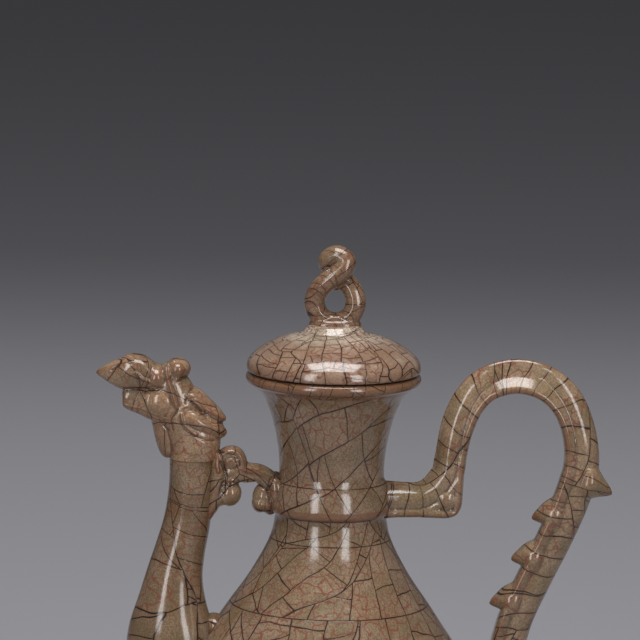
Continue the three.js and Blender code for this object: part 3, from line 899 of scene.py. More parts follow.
    def ground(self, g: Graph, solid: object, random: object) -> bpy.types.NodeSocket:
        """Mottles the glaze's own colour.

        Args:
            g: The material's graph.
            solid: Object coordinates.
            random: The shard's random colour.

        Returns:
            The colour.
        """
        clouds = g.fade(g.noise(solid, 0.012, 4.0).outputs["Fac"], 0.34, 0.66, 0.0, 1.0)
        colour = g.mix(clouds, self.olive, self.pale)
        blush = g.fade(g.noise(solid, 0.018, 3.0).outputs["Fac"], 0.5, 0.72, 0.0, 0.75)
        colour = g.mix(blush, colour, self.warm)
        speckle = g.fade(g.noise(solid, 0.0006, 3.0).outputs["Fac"], 0.32, 0.68, 0.72, 1.24)
        tone = g.fade(g.node("SeparateColor", {0: random}).outputs[2], 0.0, 1.0, 0.93, 1.06)
        light = g.math("MULTIPLY", speckle, tone)
        return g.vector("MULTIPLY", colour, g.node("CombineXYZ", {0: light, 1: light, 2: light}).outputs[0])

    def stain_and_shade(self, g: Graph, solid: object, flat: object, colour: object) -> bpy.types.NodeSocket:
        """Browns the ridges, where the glaze is thin, and paints shade into the hollows.

        Args:
            g: The material's graph.
            solid: Object coordinates.
            flat: The piece's own UV map.
            colour: The colour so far.

        Returns:
            The colour, browned on ridges and darkened with painted shade in the hollows.
        """
        ridge = g.node("Attribute", attribute_name="stain_and_shade").outputs["Fac"]
        way = g.node("SeparateXYZ", {0: flat}).outputs[1]
        for height, reach in self.crackle.worn:
            off = g.math("ABSOLUTE", g.math("SUBTRACT", way, height))
            ridge = g.math("ADD", ridge, g.fade(off, 0.35 * reach, reach, 0.75, 0.0))
        patchy = g.math("MULTIPLY_ADD", g.noise(solid, 0.004, 3.0).outputs["Fac"], 0.5, -0.25)
        thin = g.fade(g.math("ADD", ridge, patchy), 0.12, 0.75, 0.0, 0.85 * self.thinness)
        browned = g.mix(thin, colour, self.brown)
        # Painted shade: hollows and grooves are darkened towards a near-black colour.
        hollow = g.fade(ridge, -0.12, -0.75, 0.0, 0.78)
        return g.mix(hollow, browned, self.hollow_shade)


@dataclass(frozen=True)
class BurntClay:
    """Bare iron-rich clay of the foot ring, burnt dark brown."""

    name: str = "burnt_clay"
    dark: tuple[float, float, float] = (0.060, 0.034, 0.022)
    light: tuple[float, float, float] = (0.125, 0.068, 0.040)
    roughness: float = 0.82

    def build(self) -> bpy.types.Material:
        """Makes the material.

        Returns:
            The node-based material.
        """
        g = Graph(self.name)
        place = g.node("TexCoord").outputs["Object"]
        clouds = g.fade(g.noise(place, 0.01, 4.0).outputs["Fac"], 0.35, 0.65, 0.0, 1.0)
        colour = g.mix(clouds, self.dark, self.light)
        grit = g.noise(place, 0.0008, 3.0).outputs["Fac"]
        bump = g.node("Bump", {"Strength": 0.6, "Distance": 0.0003, "Height": grit})
        shader = g.node("BsdfPrincipled", {"Base Color": colour, "Normal": bump.outputs[0]})
        shader.inputs["Roughness"].default_value = self.roughness
        g.node("OutputMaterial", {"Surface": shader.outputs[0]})
        return g.material


def dress(
    piece: bpy.types.Object, finish: CrackleGlaze | BurntClay, slot: Slot, body: Body, *nodes: str
) -> None:
    """Glazes a piece, puts it on its body and lets it stand for CAD nodes.

    Args:
        piece: The finished piece.
        finish: Its glaze or clay.
        slot: The record's material slot. It is not used.
        body: The body it rides on.
        *nodes: The CAD nodes that it stands for.
    """
    piece.data.materials.clear()
    piece.data.materials.append(finish.build())
    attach(piece, body.value)
    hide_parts(*nodes)
    log.info("%s: %d faces, stands for %s", piece.name, len(piece.data.polygons), ", ".join(nodes))


@dataclass
class Vessel:
    """The thrown body, neck, band and rim, glazed as one, on its bare foot ring."""

    outline: list[Point] = field(
        default_factory=lambda: [
            (35.5, 9), (52.6, 33.2), (61, 68), (54.6, 90.6), (39.7, 115), (29.7, 129.6),
            (22.9, 142.5), (21.1, 149), (19.55, 171.5), (22.1, 186.9), (25.5, 196),
        ]
    )
    wall: float = 4.2
    floor_height: float = 15.0
    rim_radius: float = 32.6
    mouth_height: float = 205.6
    mouth_bore: float = 24.5
    true_radius: float = 0.034
    shoulder_crack: float = 119.2
    collar_crack: float = 143.7
    flare_top: float = 199.9
    worn_rim: float = 202.5

    def outside(self) -> list[Point]:
        """The outer wall's points up to the rim, with the band's profile let in."""
        wall = [tuple(row) for row in curve_through(self.outline, 9)]
        low, high = BAND_LOW.z / MM, BAND_HIGH.z / MM
        band = [
            (20.75, low - 0.7), (20.95, low), (21.7, low + 0.2), (22.35, low + 0.7), (22.6, low + 1.5),
            (22.62, low + 2.6), (22.55, low + 3.8), (22.3, low + 5.0), (22.0, low + 6.2),
            (21.85, low + 7.4), (21.7, low + 8.5), (21.4, low + 9.5), (20.98, low + 10.5),
            (20.5, low + 11.4), (20.05, high + 0.8),
        ]
        below = [p for p in wall if p[1] < band[0][1] - 0.4]
        above = [p for p in wall if p[1] > band[-1][1] + 0.4]
        return below + band + above

    def rim(self) -> list[Point]:
        """The everted rim, over its lip and into the throat."""
        under = (self.rim_radius - 2.9, self.mouth_height - 5.2)
        lip = arc((self.rim_radius - 1.8, self.mouth_height - 2.1), (1.8, 2.1), -62, 90, 8)
        rise = [(26.7, 197.6), (28.1, 199.0), under, (30.4, self.mouth_height - 4.4)]
        flat = [(28.0, self.mouth_height - 0.1), (self.mouth_bore + 0.8, self.mouth_height)]
        return rise + lip + flat + [(self.mouth_bore, self.mouth_height - 0.5), (23.4, 203.6), (21.6, 199)]

    def inside(self) -> list[Point]:
        """The inner wall, from the throat down to the floor."""
        rows = curve_through(self.outline, 5)
        along = np.gradient(rows, axis=0)
        square = np.stack([-along[:, 1], along[:, 0]], axis=1) / np.linalg.norm(along, axis=1)[:, None]
        inner = rows + square * self.wall
        floor_top = self.floor_height + 0.8 * self.wall
        wall = [(r, z) for r, z in reversed(inner.tolist()) if z > floor_top + 1]
        return wall + [(wall[-1][0] - 1.2, floor_top), (wall[-1][0] - 4, self.floor_height + 0.6)]

    def clay(self) -> bpy.types.Object:
        """A solid that reaches to the middle of the wall, which cuts off what is luted to the outside."""
        rows = curve_through(self.outline, 4).tolist()
        middle = [(r - 0.5 * self.wall, z) for r, z in rows]
        return Lathe([(0.5, rows[0][1]), *middle, (0.5, rows[-1][1])], sides=64, levels=0).build("clay_core")

    def crackle(self, outline: np.ndarray) -> Crackle:
        """Lays out the vessel's crackle.

        Args:
            outline: The vessel's (radius, height) outline, in metres.

        Returns:
            The sizes of the crackle. Cracks go right round where the wall bends, and their run changes there.
        """
        climb = way_up(outline, self.true_radius)
        heights = outline[: int(np.argmax(outline[:, 1]))]

        def mark(z: float) -> float:
            """The way up the map to a height, in metres, on the outside."""
            return float(np.interp(z, heights[:, 1], climb[: len(heights)]))

        shoulder, under_band = mark(self.shoulder_crack * MM), mark(BAND_LOW.z - 0.0001)
        return Crackle(
            net=0.046,
            strip=0.0112,
            rung=0.0182,
            lean=0.3,
            crossed=0.12,
            spurs=0.3,
            rusty=0.95,
            seam=math.pi * self.true_radius,
            rings=(shoulder, mark(self.collar_crack * MM), under_band, mark(BAND_HIGH.z + 0.0004)),
            turned=(
                (shoulder, math.radians(24), 0.86),
                (under_band, math.radians(58), 0.76),
                (mark(self.flare_top * MM), 0.15, 1.55),
            ),
            worn=((mark(self.worn_rim * MM), 0.0075), (mark(BAND_LOW.z + 0.0015), 0.003)),
        )

    def foot_ring(self) -> None:
        """Turns the foot ring and leaves it bare."""
        foot = Lathe(
            [
                (31.7, 0.0), (35.8, 0.0), (37.0, 1.2), (36.6, 3.2), (35.6, 8.4), (35.4, 9.0), (29.6, 9.0),
                (30.5, 1.2),
            ],
            ringed=True,
            levels=0,
        ).build("foot")
        corner = math.radians(25)
        finish_with(foot, "BEVEL", width=0.0006, segments=2, limit_method="ANGLE", angle_limit=corner)
        mark_stain_and_shade(foot, reach=0.001, full=0.0005)
        shade(foot, sharp=35)
        dress(foot, BurntClay(), Slot.CLAY, Body.EWER, "foot_ring")

    def build(self, bore: bpy.types.Object) -> None:
        """Throws the vessel and turns its foot ring.

        Args:
            bore: The solid that pierces the wall where the spout is joined on.
        """
        base = [(1.0, 9.0), (28.0, 9.0), (31.0, 9.0)]
        floor = [(20.0, self.floor_height), (1.0, self.floor_height)]
        profile = base + self.outside() + self.rim() + self.inside() + floor
        outline = np.array(profile) * MM
        piece = Lathe(profile).build("vessel")
        cut_away(piece, bore, keep_tool=True)
        unroll_lathe(piece, self.true_radius, outline)
        mark_stain_and_shade(piece, reach=0.0022, full=0.00035)
        shade(piece, sharp=60)
        dress(
            piece, CrackleGlaze("body_glaze", self.crackle(outline)), Slot.CRACKLE, Body.EWER,
            "lower_belly", "upper_belly", "neck", "neck_band", "mouth_rim",
        )
        self.foot_ring()


@dataclass
class Spout:
    """The spout's tube and the phoenix head that it ends in."""

    seam: float = 172.0
    true_radius: float = 0.011
    voxel: float = 0.0003
    relax: int = 3
    tube: list[Station] = field(
        default_factory=lambda: [
            (-40.2, 62.0, 15.2, 12.3), (-50.3, 74.1, 18.6, 13.9), (-56.3, 90.2, 19.1, 14.4),
            (-58.5, 106.9, 16.5, 13.3), (-58.4, 118.9, 12.8, 11.6), (-57.6, 128.1, 10.7, 10.3),
            (-55.8, 137.3, 9.5, 9.2), (-53.3, 148.8, 8.8, 8.5), (-52.1, 161.5, 8.3, 8.2),
            (-52.1, 177.0, 8.3, 8.2),
        ]
    )
    channel: list[Station] = field(
        default_factory=lambda: [
            (-34.2, 67.0, 9.0, 8.0), (-50.2, 74.1, 9.0, 9.0), (-56.4, 90.2, 9.0, 9.0),
            (-58.8, 106.9, 9.0, 9.0), (-58.5, 118.9, 8.8, 7.9), (-57.6, 128.1, 6.8, 6.6),
            (-55.6, 137.3, 5.6, 5.5), (-53.1, 148.8, 4.9, 4.8), (-51.9, 161.5, 4.5, 4.5),
            (-52.3, 178.0, 4.4, 4.4), (-56.5, 188.0, 3.8, 3.8), (-63.9, 193.6, 3.0, 3.2),
            (-71.9, 194.8, 2.0, 3.0), (-82.0, 195.2, 2.0, 3.0),
        ]
    )
    skull: list[Station] = field(
        default_factory=lambda: [
            (-52.1, 161.5, 8.3, 8.2), (-51.9, 170, 8.5, 8.2), (-50.9, 176, 9.3, 8.1),
            (-51.2, 180.5, 9.9, 8.0), (-54.0, 186, 9.1, 7.8), (-57.4, 191.5, 8.8, 7.4),
            (-60.2, 198, 8.2, 7.0), (-62.0, 202.6, 6.4, 6.2), (-63.0, 205.8, 2.6, 4.2),
        ]
    )
    beak: list[Station] = field(
        default_factory=lambda: [
            (-62.0, 202.2, 4.3, 6.2), (-66.8, 202.9, 4.8, 7.0), (-69.4, 203.7, 5.7, 7.2),
            (-71.6, 204.4, 6.4, 7.2), (-73.2, 204.6, 6.8, 7.1), (-74.8, 204.4, 6.7, 6.9),
            (-77.4, 203.8, 6.2, 6.5), (-80.0, 203.8, 5.3, 5.5), (-82.7, 203.9, 4.0, 4.1),
            (-85.2, 203.9, 2.5, 2.4), (-87.2, 203.8, 1.1, 1.0), (-88.1, 203.7, 0.15, 0.2),
        ]
    )
    jaw: list[Station] = field(
        default_factory=lambda: [
            (-60.0, 191.9, 6.8, 6.6), (-66.3, 192.7, 6.5, 6.6), (-70.6, 193.6, 5.4, 6.0),
            (-74.9, 194.4, 4.6, 5.4), (-77.0, 194.8, 3.8, 5.0), (-77.8, 194.9, 3.3, 4.4),
            (-78.1, 194.9, 2.4, 3.2),
        ]
    )
    wattle: list[Station] = field(
        default_factory=lambda: [
            (-64.4, 189.4, 3.9, 4.4), (-62.9, 184.6, 4.0, 4.7), (-62.1, 180.4, 3.9, 4.4),
            (-61.5, 176.8, 3.4, 3.8), (-60.8, 173.8, 2.5, 2.8), (-60.2, 172.4, 1.0, 1.2),
        ]
    )
    upper_feather: list[Station] = field(
        default_factory=lambda: [
            (-57.0, 197.0, 3.6, 6.4), (-51.8, 195.8, 3.6, 6.9), (-47.5, 192.4, 3.2, 6.4),
            (-43.4, 189.1, 2.7, 5.0), (-40.7, 187.5, 1.6, 2.8), (-39.5, 187.3, 0.8, 1.3),
        ]
    )
    lower_petal: list[Station] = field(
        default_factory=lambda: [
            (-58.0, 188.6, 5.6, 8.0), (-54.0, 188.2, 6.2, 8.8), (-49.5, 186.4, 6.2, 8.8),
            (-45.2, 184.3, 5.2, 7.4), (-42.2, 182.9, 3.9, 5.2), (-40.3, 182.6, 2.3, 2.9),
            (-39.2, 182.9, 0.8, 1.0),
        ]
    )
    grooves: list[list[Point]] = field(
        default_factory=lambda: [
            [(-79.0, 198.4), (-77.5, 198.4), (-72.9, 198.7), (-68.6, 198.5)],
            [(-66.8, 207.9), (-67.7, 204.3), (-68.7, 200.7), (-69.6, 197.4)],
            [(-57.0, 193.0), (-57.9, 190.6), (-59.9, 187.4), (-59.2, 183.6)],
            [(-60.3, 203.6), (-59.3, 200.4), (-57.9, 196.4), (-56.8, 192.9)],
            [(-60.2, 203.0), (-58.1, 202.0), (-56.0, 202.8), (-54.4, 203.4)],
            [(-51.7, 199.3), (-53.4, 197.5), (-54.4, 193.9)],
        ]
    )
    shallows: list[list[Point]] = field(
        default_factory=lambda: [
            [(-68.2, 198.9), (-67.0, 199.7), (-65.1, 199.4), (-63.2, 199.6)],
            [(-64.4, 187.4), (-62.0, 184.4), (-59.6, 182.6)],
        ]
    )
    creases: list[list[Point]] = field(
        default_factory=lambda: [
            [(-48.2, 190.0), (-46.0, 187.9), (-43.8, 186.5), (-41.0, 186.2)],
            [(-52.5, 182.9), (-50.0, 181.5), (-47.0, 180.4), (-43.8, 179.9)],
        ]
    )
    ridges: list[list[Point]] = field(
        default_factory=lambda: [
            [
                (-59.4, 209.2), (-61.1, 208.3), (-61.9, 206.4), (-61.5, 203.5), (-60.5, 200.2),
                (-59.1, 196.4), (-57.8, 192.2),
            ],
            [(-72.7, 204.7), (-70.9, 203.1), (-68.2, 201.9)],
            [(-55.9, 189.8), (-55.5, 187.7), (-54.1, 185.3), (-52.0, 183.6), (-50.3, 182.5)],
            [(-51.4, 194.7), (-49.6, 193.4), (-48.0, 191.6)],
        ]
    )
    edges: list[list[Point]] = field(
        default_factory=lambda: [
            [(-77.5, 192.6), (-74.9, 191.9), (-71.0, 191.2), (-68.0, 190.2), (-64.6, 188.9), (-61.0, 187.6)],
            [(-79.4, 207.7), (-76.8, 208.4), (-74.2, 208.9)],
        ]
    )
    nostrils: list[list[Point]] = field(
        default_factory=lambda: [[(-82.2, 205.4), (-80.8, 206.6), (-79.4, 207.2)]]
    )

    def bore(self) -> bpy.types.Object:
        """The channel from the belly to the open beak, as a solid."""
        return Limb(self.channel, rings=4).build("bore")

    def build(self, clay: bpy.types.Object, bore: bpy.types.Object) -> None:
        """Models the tube and the head, and bores them.

        Args:
            clay: The solid that reaches to the middle of the body's wall.
            bore: The channel as a solid.
        """
        tube = Limb(self.tube, section=Section.TUBE, rings=5, levels=2).build("spout")
        trim_below(tube, self.seam * MM, above=True)
        add_on(tube, Pellet((-41.6, 0, 108.0), (4.8, 6.6, 6.2), tilt=-30).build("crotch"))
        cut_away(tube, clay, keep_tool=True)
        cut_away(tube, bore, keep_tool=True)
        unroll_limb(tube, self.true_radius, curve_through(self.tube, 40)[:, :2])
        mark_stain_and_shade(tube, reach=0.0015, full=0.0004)
        shade(tube)
        crackle = Crackle(
            net=0.042, strip=0.0175, rung=0.0125, lean=0.2, crossed=0.0, spurs=0.3, squeeze=0.85, rusty=0.9,
            seam=math.pi * self.true_radius, shift=(0.31, 0.12),
        )
        # Painted shade: the spout's pale, olive and warm colours are a darker copy of the body glaze.
        glaze = CrackleGlaze(
            "spout_glaze_painted_shade", crackle,
            pale=(0.182, 0.121, 0.074), olive=(0.134, 0.093, 0.05), warm=(0.156, 0.087, 0.047),
        )
        dress(tube, glaze, Slot.CRACKLE, Body.EWER, "spout_tube")
        self.finish_head(bore)

    def finish_head(self, bore: bpy.types.Object) -> None:
        """Bores the head, sets it on the tube's seam and glazes it.

        Args:
            bore: The channel as a solid.
        """
        head = self.head()
        cut_away(head, bore)
        trim_below(head, self.seam * MM)
        unroll_side(head)
        mark_stain_and_shade(head, reach=0.0011, full=0.00022)
        shade(head, sharp=50)
        crackle = Crackle(
            net=0.034, strip=0.03, rung=0.024, lean=0.5, spurs=0.1, rusty=0.5, rust=0.0036, shift=(0.15, 0.47)
        )
        glaze = CrackleGlaze(
            "head_glaze", crackle, line=0.00017, thinness=1.0,
            pale=(0.262, 0.17, 0.105), warm=(0.235, 0.124, 0.066),
        )
        dress(
            head, glaze, Slot.THIN, Body.EWER,
            "head_skull", "upper_beak", "lower_jaw", "wattle", "comb", "crest_upper", "crest_lower",
        )

    def head(self) -> bpy.types.Object:
        """Presses the head's lumps together and tools its lines.

        Returns:
            The head, still solid.
        """
        lumps = [
            Limb(self.skull, section=Section.TUBE, rings=4).build("skull"),
            Limb(self.beak, section=Section.BEAK, rings=2).build("beak"),
            Limb(self.jaw, section=Section.BLOCK, rings=3).build("jaw"),
            Limb(self.wattle).build("flap"),
            Limb(self.upper_feather, section=Section.LEAF).build("feather"),
            Limb(self.lower_petal, section=Section.LEAF).build("petal"),
            Pellet((-65.6, 0, 202.6), (4.8, 7.8, 5.2)).build("forehead"),
            Pellet((-57.6, 0, 205.7), (4.7, 5.6, 4.3)).build("curl"),
            Pellet((-61.6, 0, 203.4), (4.4, 6.4, 4.6)).build("brow"),
        ]
        for side in (-1, 1):
            lumps.append(Pellet((-63.6, side * 3.8, 193.6), (6.0, 3.9, 5.9)).build("cheek"))
            lumps.append(Pellet((-57.8, side * 3.6, 205.9), (3.2, 3.2, 3.0)).build("curl_ball"))
        head = fuse("phoenix_head", lumps, self.voxel, self.relax)
        for tooling in (
            Tooling(self.grooves, half_width=0.8, height=-0.5),
            Tooling(self.shallows, half_width=0.7, height=-0.22),
            Tooling(self.creases, half_width=0.9, height=-0.4, facing=0.05),
            Tooling(self.ridges, half_width=1.0, height=0.9),
            Tooling(self.edges, half_width=0.7, height=0.3),
            Tooling([arc((-54.0, 191.4), (1.4, 1.4), 150, 20, 8)], half_width=0.7, height=0.5),
            Tooling(self.nostrils, half_width=0.6, height=-0.7, facing=0.0),
        ):
            tooling.press(head)
        finish_with(head, "SMOOTH", factor=0.5, iterations=1)
        return head


@dataclass
class Bridge:
    """The cloud-shaped bridge from the spout to the neck band."""

    voxel: float = 0.00025
    relax: int = 5
    leaf: list[Station] = field(
        default_factory=lambda: [
            (-45.8, 148.6, 0.8, 2.3), (-44.7, 152.4, 2.1, 4.3), (-43.3, 157.0, 3.2, 5.2),
            (-42.7, 162.0, 3.2, 5.4), (-42.2, 166.4, 3.3, 5.4), (-42.7, 171.0, 2.7, 5.0),
            (-43.6, 176.4, 1.4, 3.0),
        ]
    )
    limb: list[Station] = field(
        default_factory=lambda: [
            (-39.6, 167.0, 3.4, 4.4), (-36.6, 167.4, 4.2, 4.8), (-33.4, 167.8, 3.9, 4.7),
            (-30.4, 167.6, 3.4, 4.4), (-27.5, 167.3, 3.5, 4.3), (-25.0, 165.9, 3.8, 4.5),
            (-22.4, 163.6, 4.0, 5.2), (-20.0, 161.6, 4.0, 6.0),
        ]
    )
    scroll: list[Station] = field(
        default_factory=lambda: [
            (-32.9, 168.6, 1.9, 4.2), (-33.4, 172.4, 1.8, 4.4), (-35.0, 174.9, 1.8, 4.5),
            (-37.5, 175.5, 1.8, 4.6), (-40.2, 174.4, 1.8, 4.5), (-41.4, 172.0, 1.6, 4.2),
            (-40.6, 169.6, 1.3, 3.8),
        ]
    )
    grooves: list[list[Point]] = field(
        default_factory=lambda: [
            [(-40.0, 170.6), (-39.8, 172.3), (-38.9, 173.2), (-37.2, 173.6), (-35.6, 172.9), (-35.2, 171.6)],
            [
                (-41.0, 171.6), (-40.1, 169.4), (-38.9, 165.6), (-40.4, 163.4), (-41.0, 161.2),
                (-41.2, 158.6), (-40.2, 156.0),
            ],
            [(-40.4, 163.6), (-38.0, 164.0), (-35.4, 163.7), (-33.8, 162.4)],
            [(-23.8, 161.4), (-22.6, 159.6), (-21.6, 157.0), (-22.2, 153.6)],
        ]
    )
    crests: list[list[Point]] = field(
        default_factory=lambda: [
            [
                (-35.2, 172.2), (-34.9, 170.8), (-34.0, 169.4), (-31.0, 168.5), (-28.5, 168.1),
                (-25.4, 167.0), (-22.0, 165.2),
            ],
            [(-42.3, 173.8), (-42.5, 171.0), (-42.0, 168.0)],
        ]
    )

    def build(self, clay: bpy.types.Object) -> None:
        """Models the bridge.

        Args:
            clay: The solid that reaches to the middle of the body's wall.
        """
        lumps = [
            Limb(self.leaf).build("leaf"),
            Limb(self.limb).build("limb"),
            Limb(self.scroll).build("scroll"),
            Pellet((-37.6, 0, 171.9), (4.9, 5.0, 4.6)).build("scroll_heart"),
            Pellet((-37.7, 0, 159.3), (4.5, 5.0, 4.9)).build("left_drop"),
            Pellet((-41.2, 0, 158.0), (3.6, 4.8, 3.6)).build("left_web"),
            Pellet((-31.6, 0, 166.0), (5.6, 4.4, 2.6)).build("arch"),
            Pellet((-37.6, 0, 164.6), (3.9, 4.6, 3.4)).build("left_stalk"),
            Pellet((-24.9, 0, 158.0), (4.4, 5.2, 5.6)).build("right_drop"),
            Pellet((-26.3, 0, 155.9), (3.2, 5.4, 3.6)).build("right_drop_end"),
            Pellet((-22.6, 0, 156.0), (3.0, 5.0, 4.6)).build("band_leaf"),
        ]
        for side in (-1, 1):
            lumps.append(Pellet((-19.9, side * 5.4, 160.9), (3.3, 3.6, 6.2), tilt=-12).build("band_flare"))
        bridge = fuse("bridge", lumps, self.voxel, self.relax)
        toolings = (
            Tooling(self.grooves, half_width=0.75, height=-0.5),
            Tooling(self.crests, half_width=0.95, height=0.85),
        )
        for tooling in toolings:
            tooling.press(bridge)
        finish_with(bridge, "SMOOTH", factor=0.5, iterations=2)
        cut_away(bridge, clay, keep_tool=True)
        unroll_side(bridge)
        mark_stain_and_shade(bridge, reach=0.0011, full=0.00022)
        shade(bridge, sharp=50)
        crackle = Crackle(
            net=0.02, strip=0.011, rung=0.0115, lean=0.6, spurs=0.15, rusty=0.35, rust=0.0034,
            shift=(0.77, 0.05),
        )
        glaze = CrackleGlaze("bridge_glaze", crackle, pale=(0.24, 0.16, 0.1), line=0.00018)
        dress(
            bridge, glaze, Slot.THIN, Body.EWER,
            "bridge_leaf", "bridge_scroll", "bridge_limb", "bridge_drop_left", "bridge_drop_right",
        )


@dataclass
class Claw:
    """One thorn: its share of the handle's length, its side, its reach and its hang."""

    share: float
    side: int
    reach: float
    hang: float


@dataclass
class Handle:
    """The pulled handle, from the band over the loop to the belly, with its four thorns."""

    half: float = 6.1
    across: float = 5.4
    riser: float = 42.5
    arm_height: float = 157.8
    span: float = 50.5
    rise: float = 48.0
    band_radius: float = 22.6
    foot: Point = (52.0, 77.0)
    claw_length: float = 10.5
    claw_reach: float = 5.1
    claw_pitch: float = 18.0
    first_claw: float = 0.637
    outer_claw: float = 0.568
    true_radius: float = 0.0058
    voxel: float = 0.00042
    relax: int = 8

    def loop(self, across: float, up: float) -> Point:
        """A point of the loop, by its shares of the span and the rise."""
        return self.riser + across * self.span, self.arm_height + up * self.rise

    def stations(self) -> list[Station]:
        """The handle's stations from the band to the belly."""
        top = self.loop(0.945, 0.083)

        def lower(across: float, down: float) -> Point:
            """A point of the lower limb, by its shares of the way across and down."""
            return top[0] + (self.foot[0] - top[0]) * across, top[1] + (self.foot[1] - top[1]) * down

        rows = [
            ((self.band_radius - 3.4, self.arm_height + 0.8), 1.18, 1.2),
            ((self.band_radius + 1.0, self.arm_height + 0.8), 1.1, 1.08),
            ((self.band_radius + 4.0, self.arm_height + 0.8), 1.08, 1.0),
            ((self.riser - 9.8, self.arm_height + 1.0), 1.07, 1.0),
            ((self.riser - 6.1, self.arm_height + 2.5), 1.06, 1.0),
            ((self.riser - 3.2, self.arm_height + 5.0), 1.04, 1.0),
            ((self.riser - 1.0, self.arm_height + 8.2), 1.02, 1.0),
            (self.loop(0.014, 0.23), 1, 1),
            (self.loop(0.036, 0.4), 0.98, 0.95),
            (self.loop(0.077, 0.61), 1.03, 0.95),
            (self.loop(0.157, 0.799), 1.05, 0.97),
            (self.loop(0.273, 0.929), 1.06, 1),
            (self.loop(0.45, 0.996), 1.06, 1.04),
            (self.loop(0.6, 0.991), 1.06, 1.04),
            (self.loop(0.75, 0.931), 1.07, 1.04),
            (self.loop(0.88, 0.798), 1.06, 1),
            (self.loop(0.968, 0.58), 1.05, 0.98),
            (self.loop(0.996, 0.31), 1.11, 1.0),
            (top, 1.13, 1.05),
            (lower(0.165, 0.192), 1.1, 1.04),
            (lower(0.36, 0.38), 1.08, 1.02),
            (lower(0.542, 0.57), 1.08, 1.03),
            (lower(0.66, 0.776), 1.15, 1.1),
            (lower(0.79, 0.9), 1.32, 1.3),
            (lower(1, 1), 1.6, 1.6),
        ]
        return [(x, z, a * self.half, b * self.across) for (x, z), a, b in rows]

    def claws(self, line: np.ndarray) -> list[bpy.types.Object]:
        """Models the thorns.

        Args:
            line: The handle's centre line.

        Returns:
            The thorns: a longer one outside, and three at an even pitch inside.
        """
        lengths = np.concatenate([[0], np.cumsum(np.linalg.norm(np.diff(line, axis=0), axis=1))])
        rows = [Claw(self.outer_claw, 1, 1.48 * self.claw_reach, 0.14)]
        for count in range(3):
            share = self.first_claw + count * self.claw_pitch / lengths[-1]
            rows.append(Claw(share, -1, self.claw_reach, 0.42))
        made = []
        for claw in rows:
            here = claw.share * lengths[-1]
            root = np.array([np.interp(here, lengths, line[:, k]) for k in (0, 1)])
            ahead = np.array([np.interp(here + 0.5, lengths, line[:, k]) for k in (0, 1)])
            down = (ahead - root) / np.linalg.norm(ahead - root)
            out = np.array([-down[1], down[0]]) * claw.side
            shares = [
                (-0.1, 0.2 * self.half, 0.82, 0.6),
                (-0.02, 0.62 * self.half, 0.76, 0.68),
                (0.13, self.half, 0.56, 0.62),
                (0.43, self.half + 0.42 * claw.reach, 0.33, 0.4),
                (0.76, self.half + 0.78 * claw.reach, 0.17, 0.19),
                (1.0, self.half + claw.reach, 0.03, 0.03),
            ]
            stations = []
            for hang, away, a, b in shares:
                x, z = root + down * (hang * claw.hang * self.claw_length) + out * away
                stations.append((x, z, a * self.claw_length, b * self.claw_length))
            made.append(Limb(stations, rings=3).build("thorn"))
        return made

    def corner(self) -> bpy.types.Object:
        """Draws the arm straight on to the outer corner under the riser.

        Returns:
            The corner as a closed solid.
        """
        x, z = self.riser, self.arm_height
        rows = [
            (x - 14.0, z + 0.9, 6.3, 5.2), (x - 8.0, z + 0.8, 6.5, 5.5), (x - 3.0, z + 0.6, 6.4, 5.6),
            (x + 0.6, z + 0.3, 6.1, 5.5), (x + 3.2, z + 0.3, 5.3, 5.1), (x + 4.7, z + 0.4, 4.2, 4.2),
        ]
        return Limb(rows, section=Section.RIBBED, rings=4).build("corner")

    def heel(self) -> bpy.types.Object:
        """Draws the riser straight down to the outer corner.

        Returns:
            The heel as a closed solid.
        """
        x, z = self.riser, self.arm_height
        rows = [
            (x + 0.2, z - 4.3, 3.6, 3.2), (x + 0.3, z - 3.0, 4.9, 4.5), (x + 0.4, z - 0.6, 5.8, 5.3),
            (x + 0.4, z + 2.5, 6.0, 5.5), (x + 0.5, z + 6.5, 6.1, 5.5), (*self.loop(0.014, 0.23), 6.1, 5.4),
            (*self.loop(0.036, 0.4), 5.8, 5.1), (*self.loop(0.056, 0.5), 4.6, 4.2),
        ]
        return Limb(rows, section=Section.RIBBED, rings=4).build("heel")

    def build(self, clay: bpy.types.Object) -> None:
        """Pulls the handle and presses its thorns on.

        Args:
            clay: The solid that reaches to the middle of the body's wall.
        """
        stations = self.stations()
        line = curve_through(stations, 40)[:, :2]
        limb = Limb(stations, section=Section.RIBBED, rings=4).build("limb")
        cut_away(limb, clay, keep_tool=True)
        corner, heel = self.corner(), self.heel()
        swell = [0.2, 0.55, 0.8, 0.92] + [0.98] * 7
        rows = stations[-len(swell) - 1 : -1]
        rows = [(x, z, a * (0.9 + 0.08 * k), b * k) for (x, z, a, b), k in zip(rows, swell)]
        rounding = Limb(rows, rings=4).build("rounding")
        swell = [1.2] * 6 + [1.22, 1.24, 1.24, 1.15, 0.95, 0.7, 0.4]
        rows = [(x, z, 0.86 * a, b * k) for (x, z, a, b), k in zip(stations, swell)]
        ridge = Limb(rows, rings=4).build("ridge")
        cut_away(ridge, clay, keep_tool=True)
        elbow = Pellet((self.riser + 0.2, 0, self.arm_height + 1.5), (6.0, 7.0, 6.0)).build("elbow")
        lumps = [limb, corner, heel, elbow, rounding, ridge, *self.claws(line)]
        handle = fuse("pulled_handle", lumps, self.voxel, self.relax)
        unroll_limb(handle, self.true_radius, line)
        mark_stain_and_shade(handle, reach=0.0014, full=0.0003)
        shade(handle, sharp=60)
        crackle = Crackle(
            net=0.05, strip=0.021, rung=0.0068, lean=0.3, crossed=0.0, spurs=0.16, squeeze=0.75, rusty=0.7,
            rust=0.004, seam=math.pi * self.true_radius, shift=(0.53, 0.91),
        )
        glaze = CrackleGlaze(
            "handle_glaze", crackle, pale=(0.25, 0.172, 0.11), olive=(0.17, 0.122, 0.069), line=0.0002
        )
        dress(
            handle, glaze, Slot.CRACKLE, Body.EWER,
            "handle", "thorn_outer", "thorn_inner_upper", "thorn_inner_middle", "thorn_inner_lower",
        )


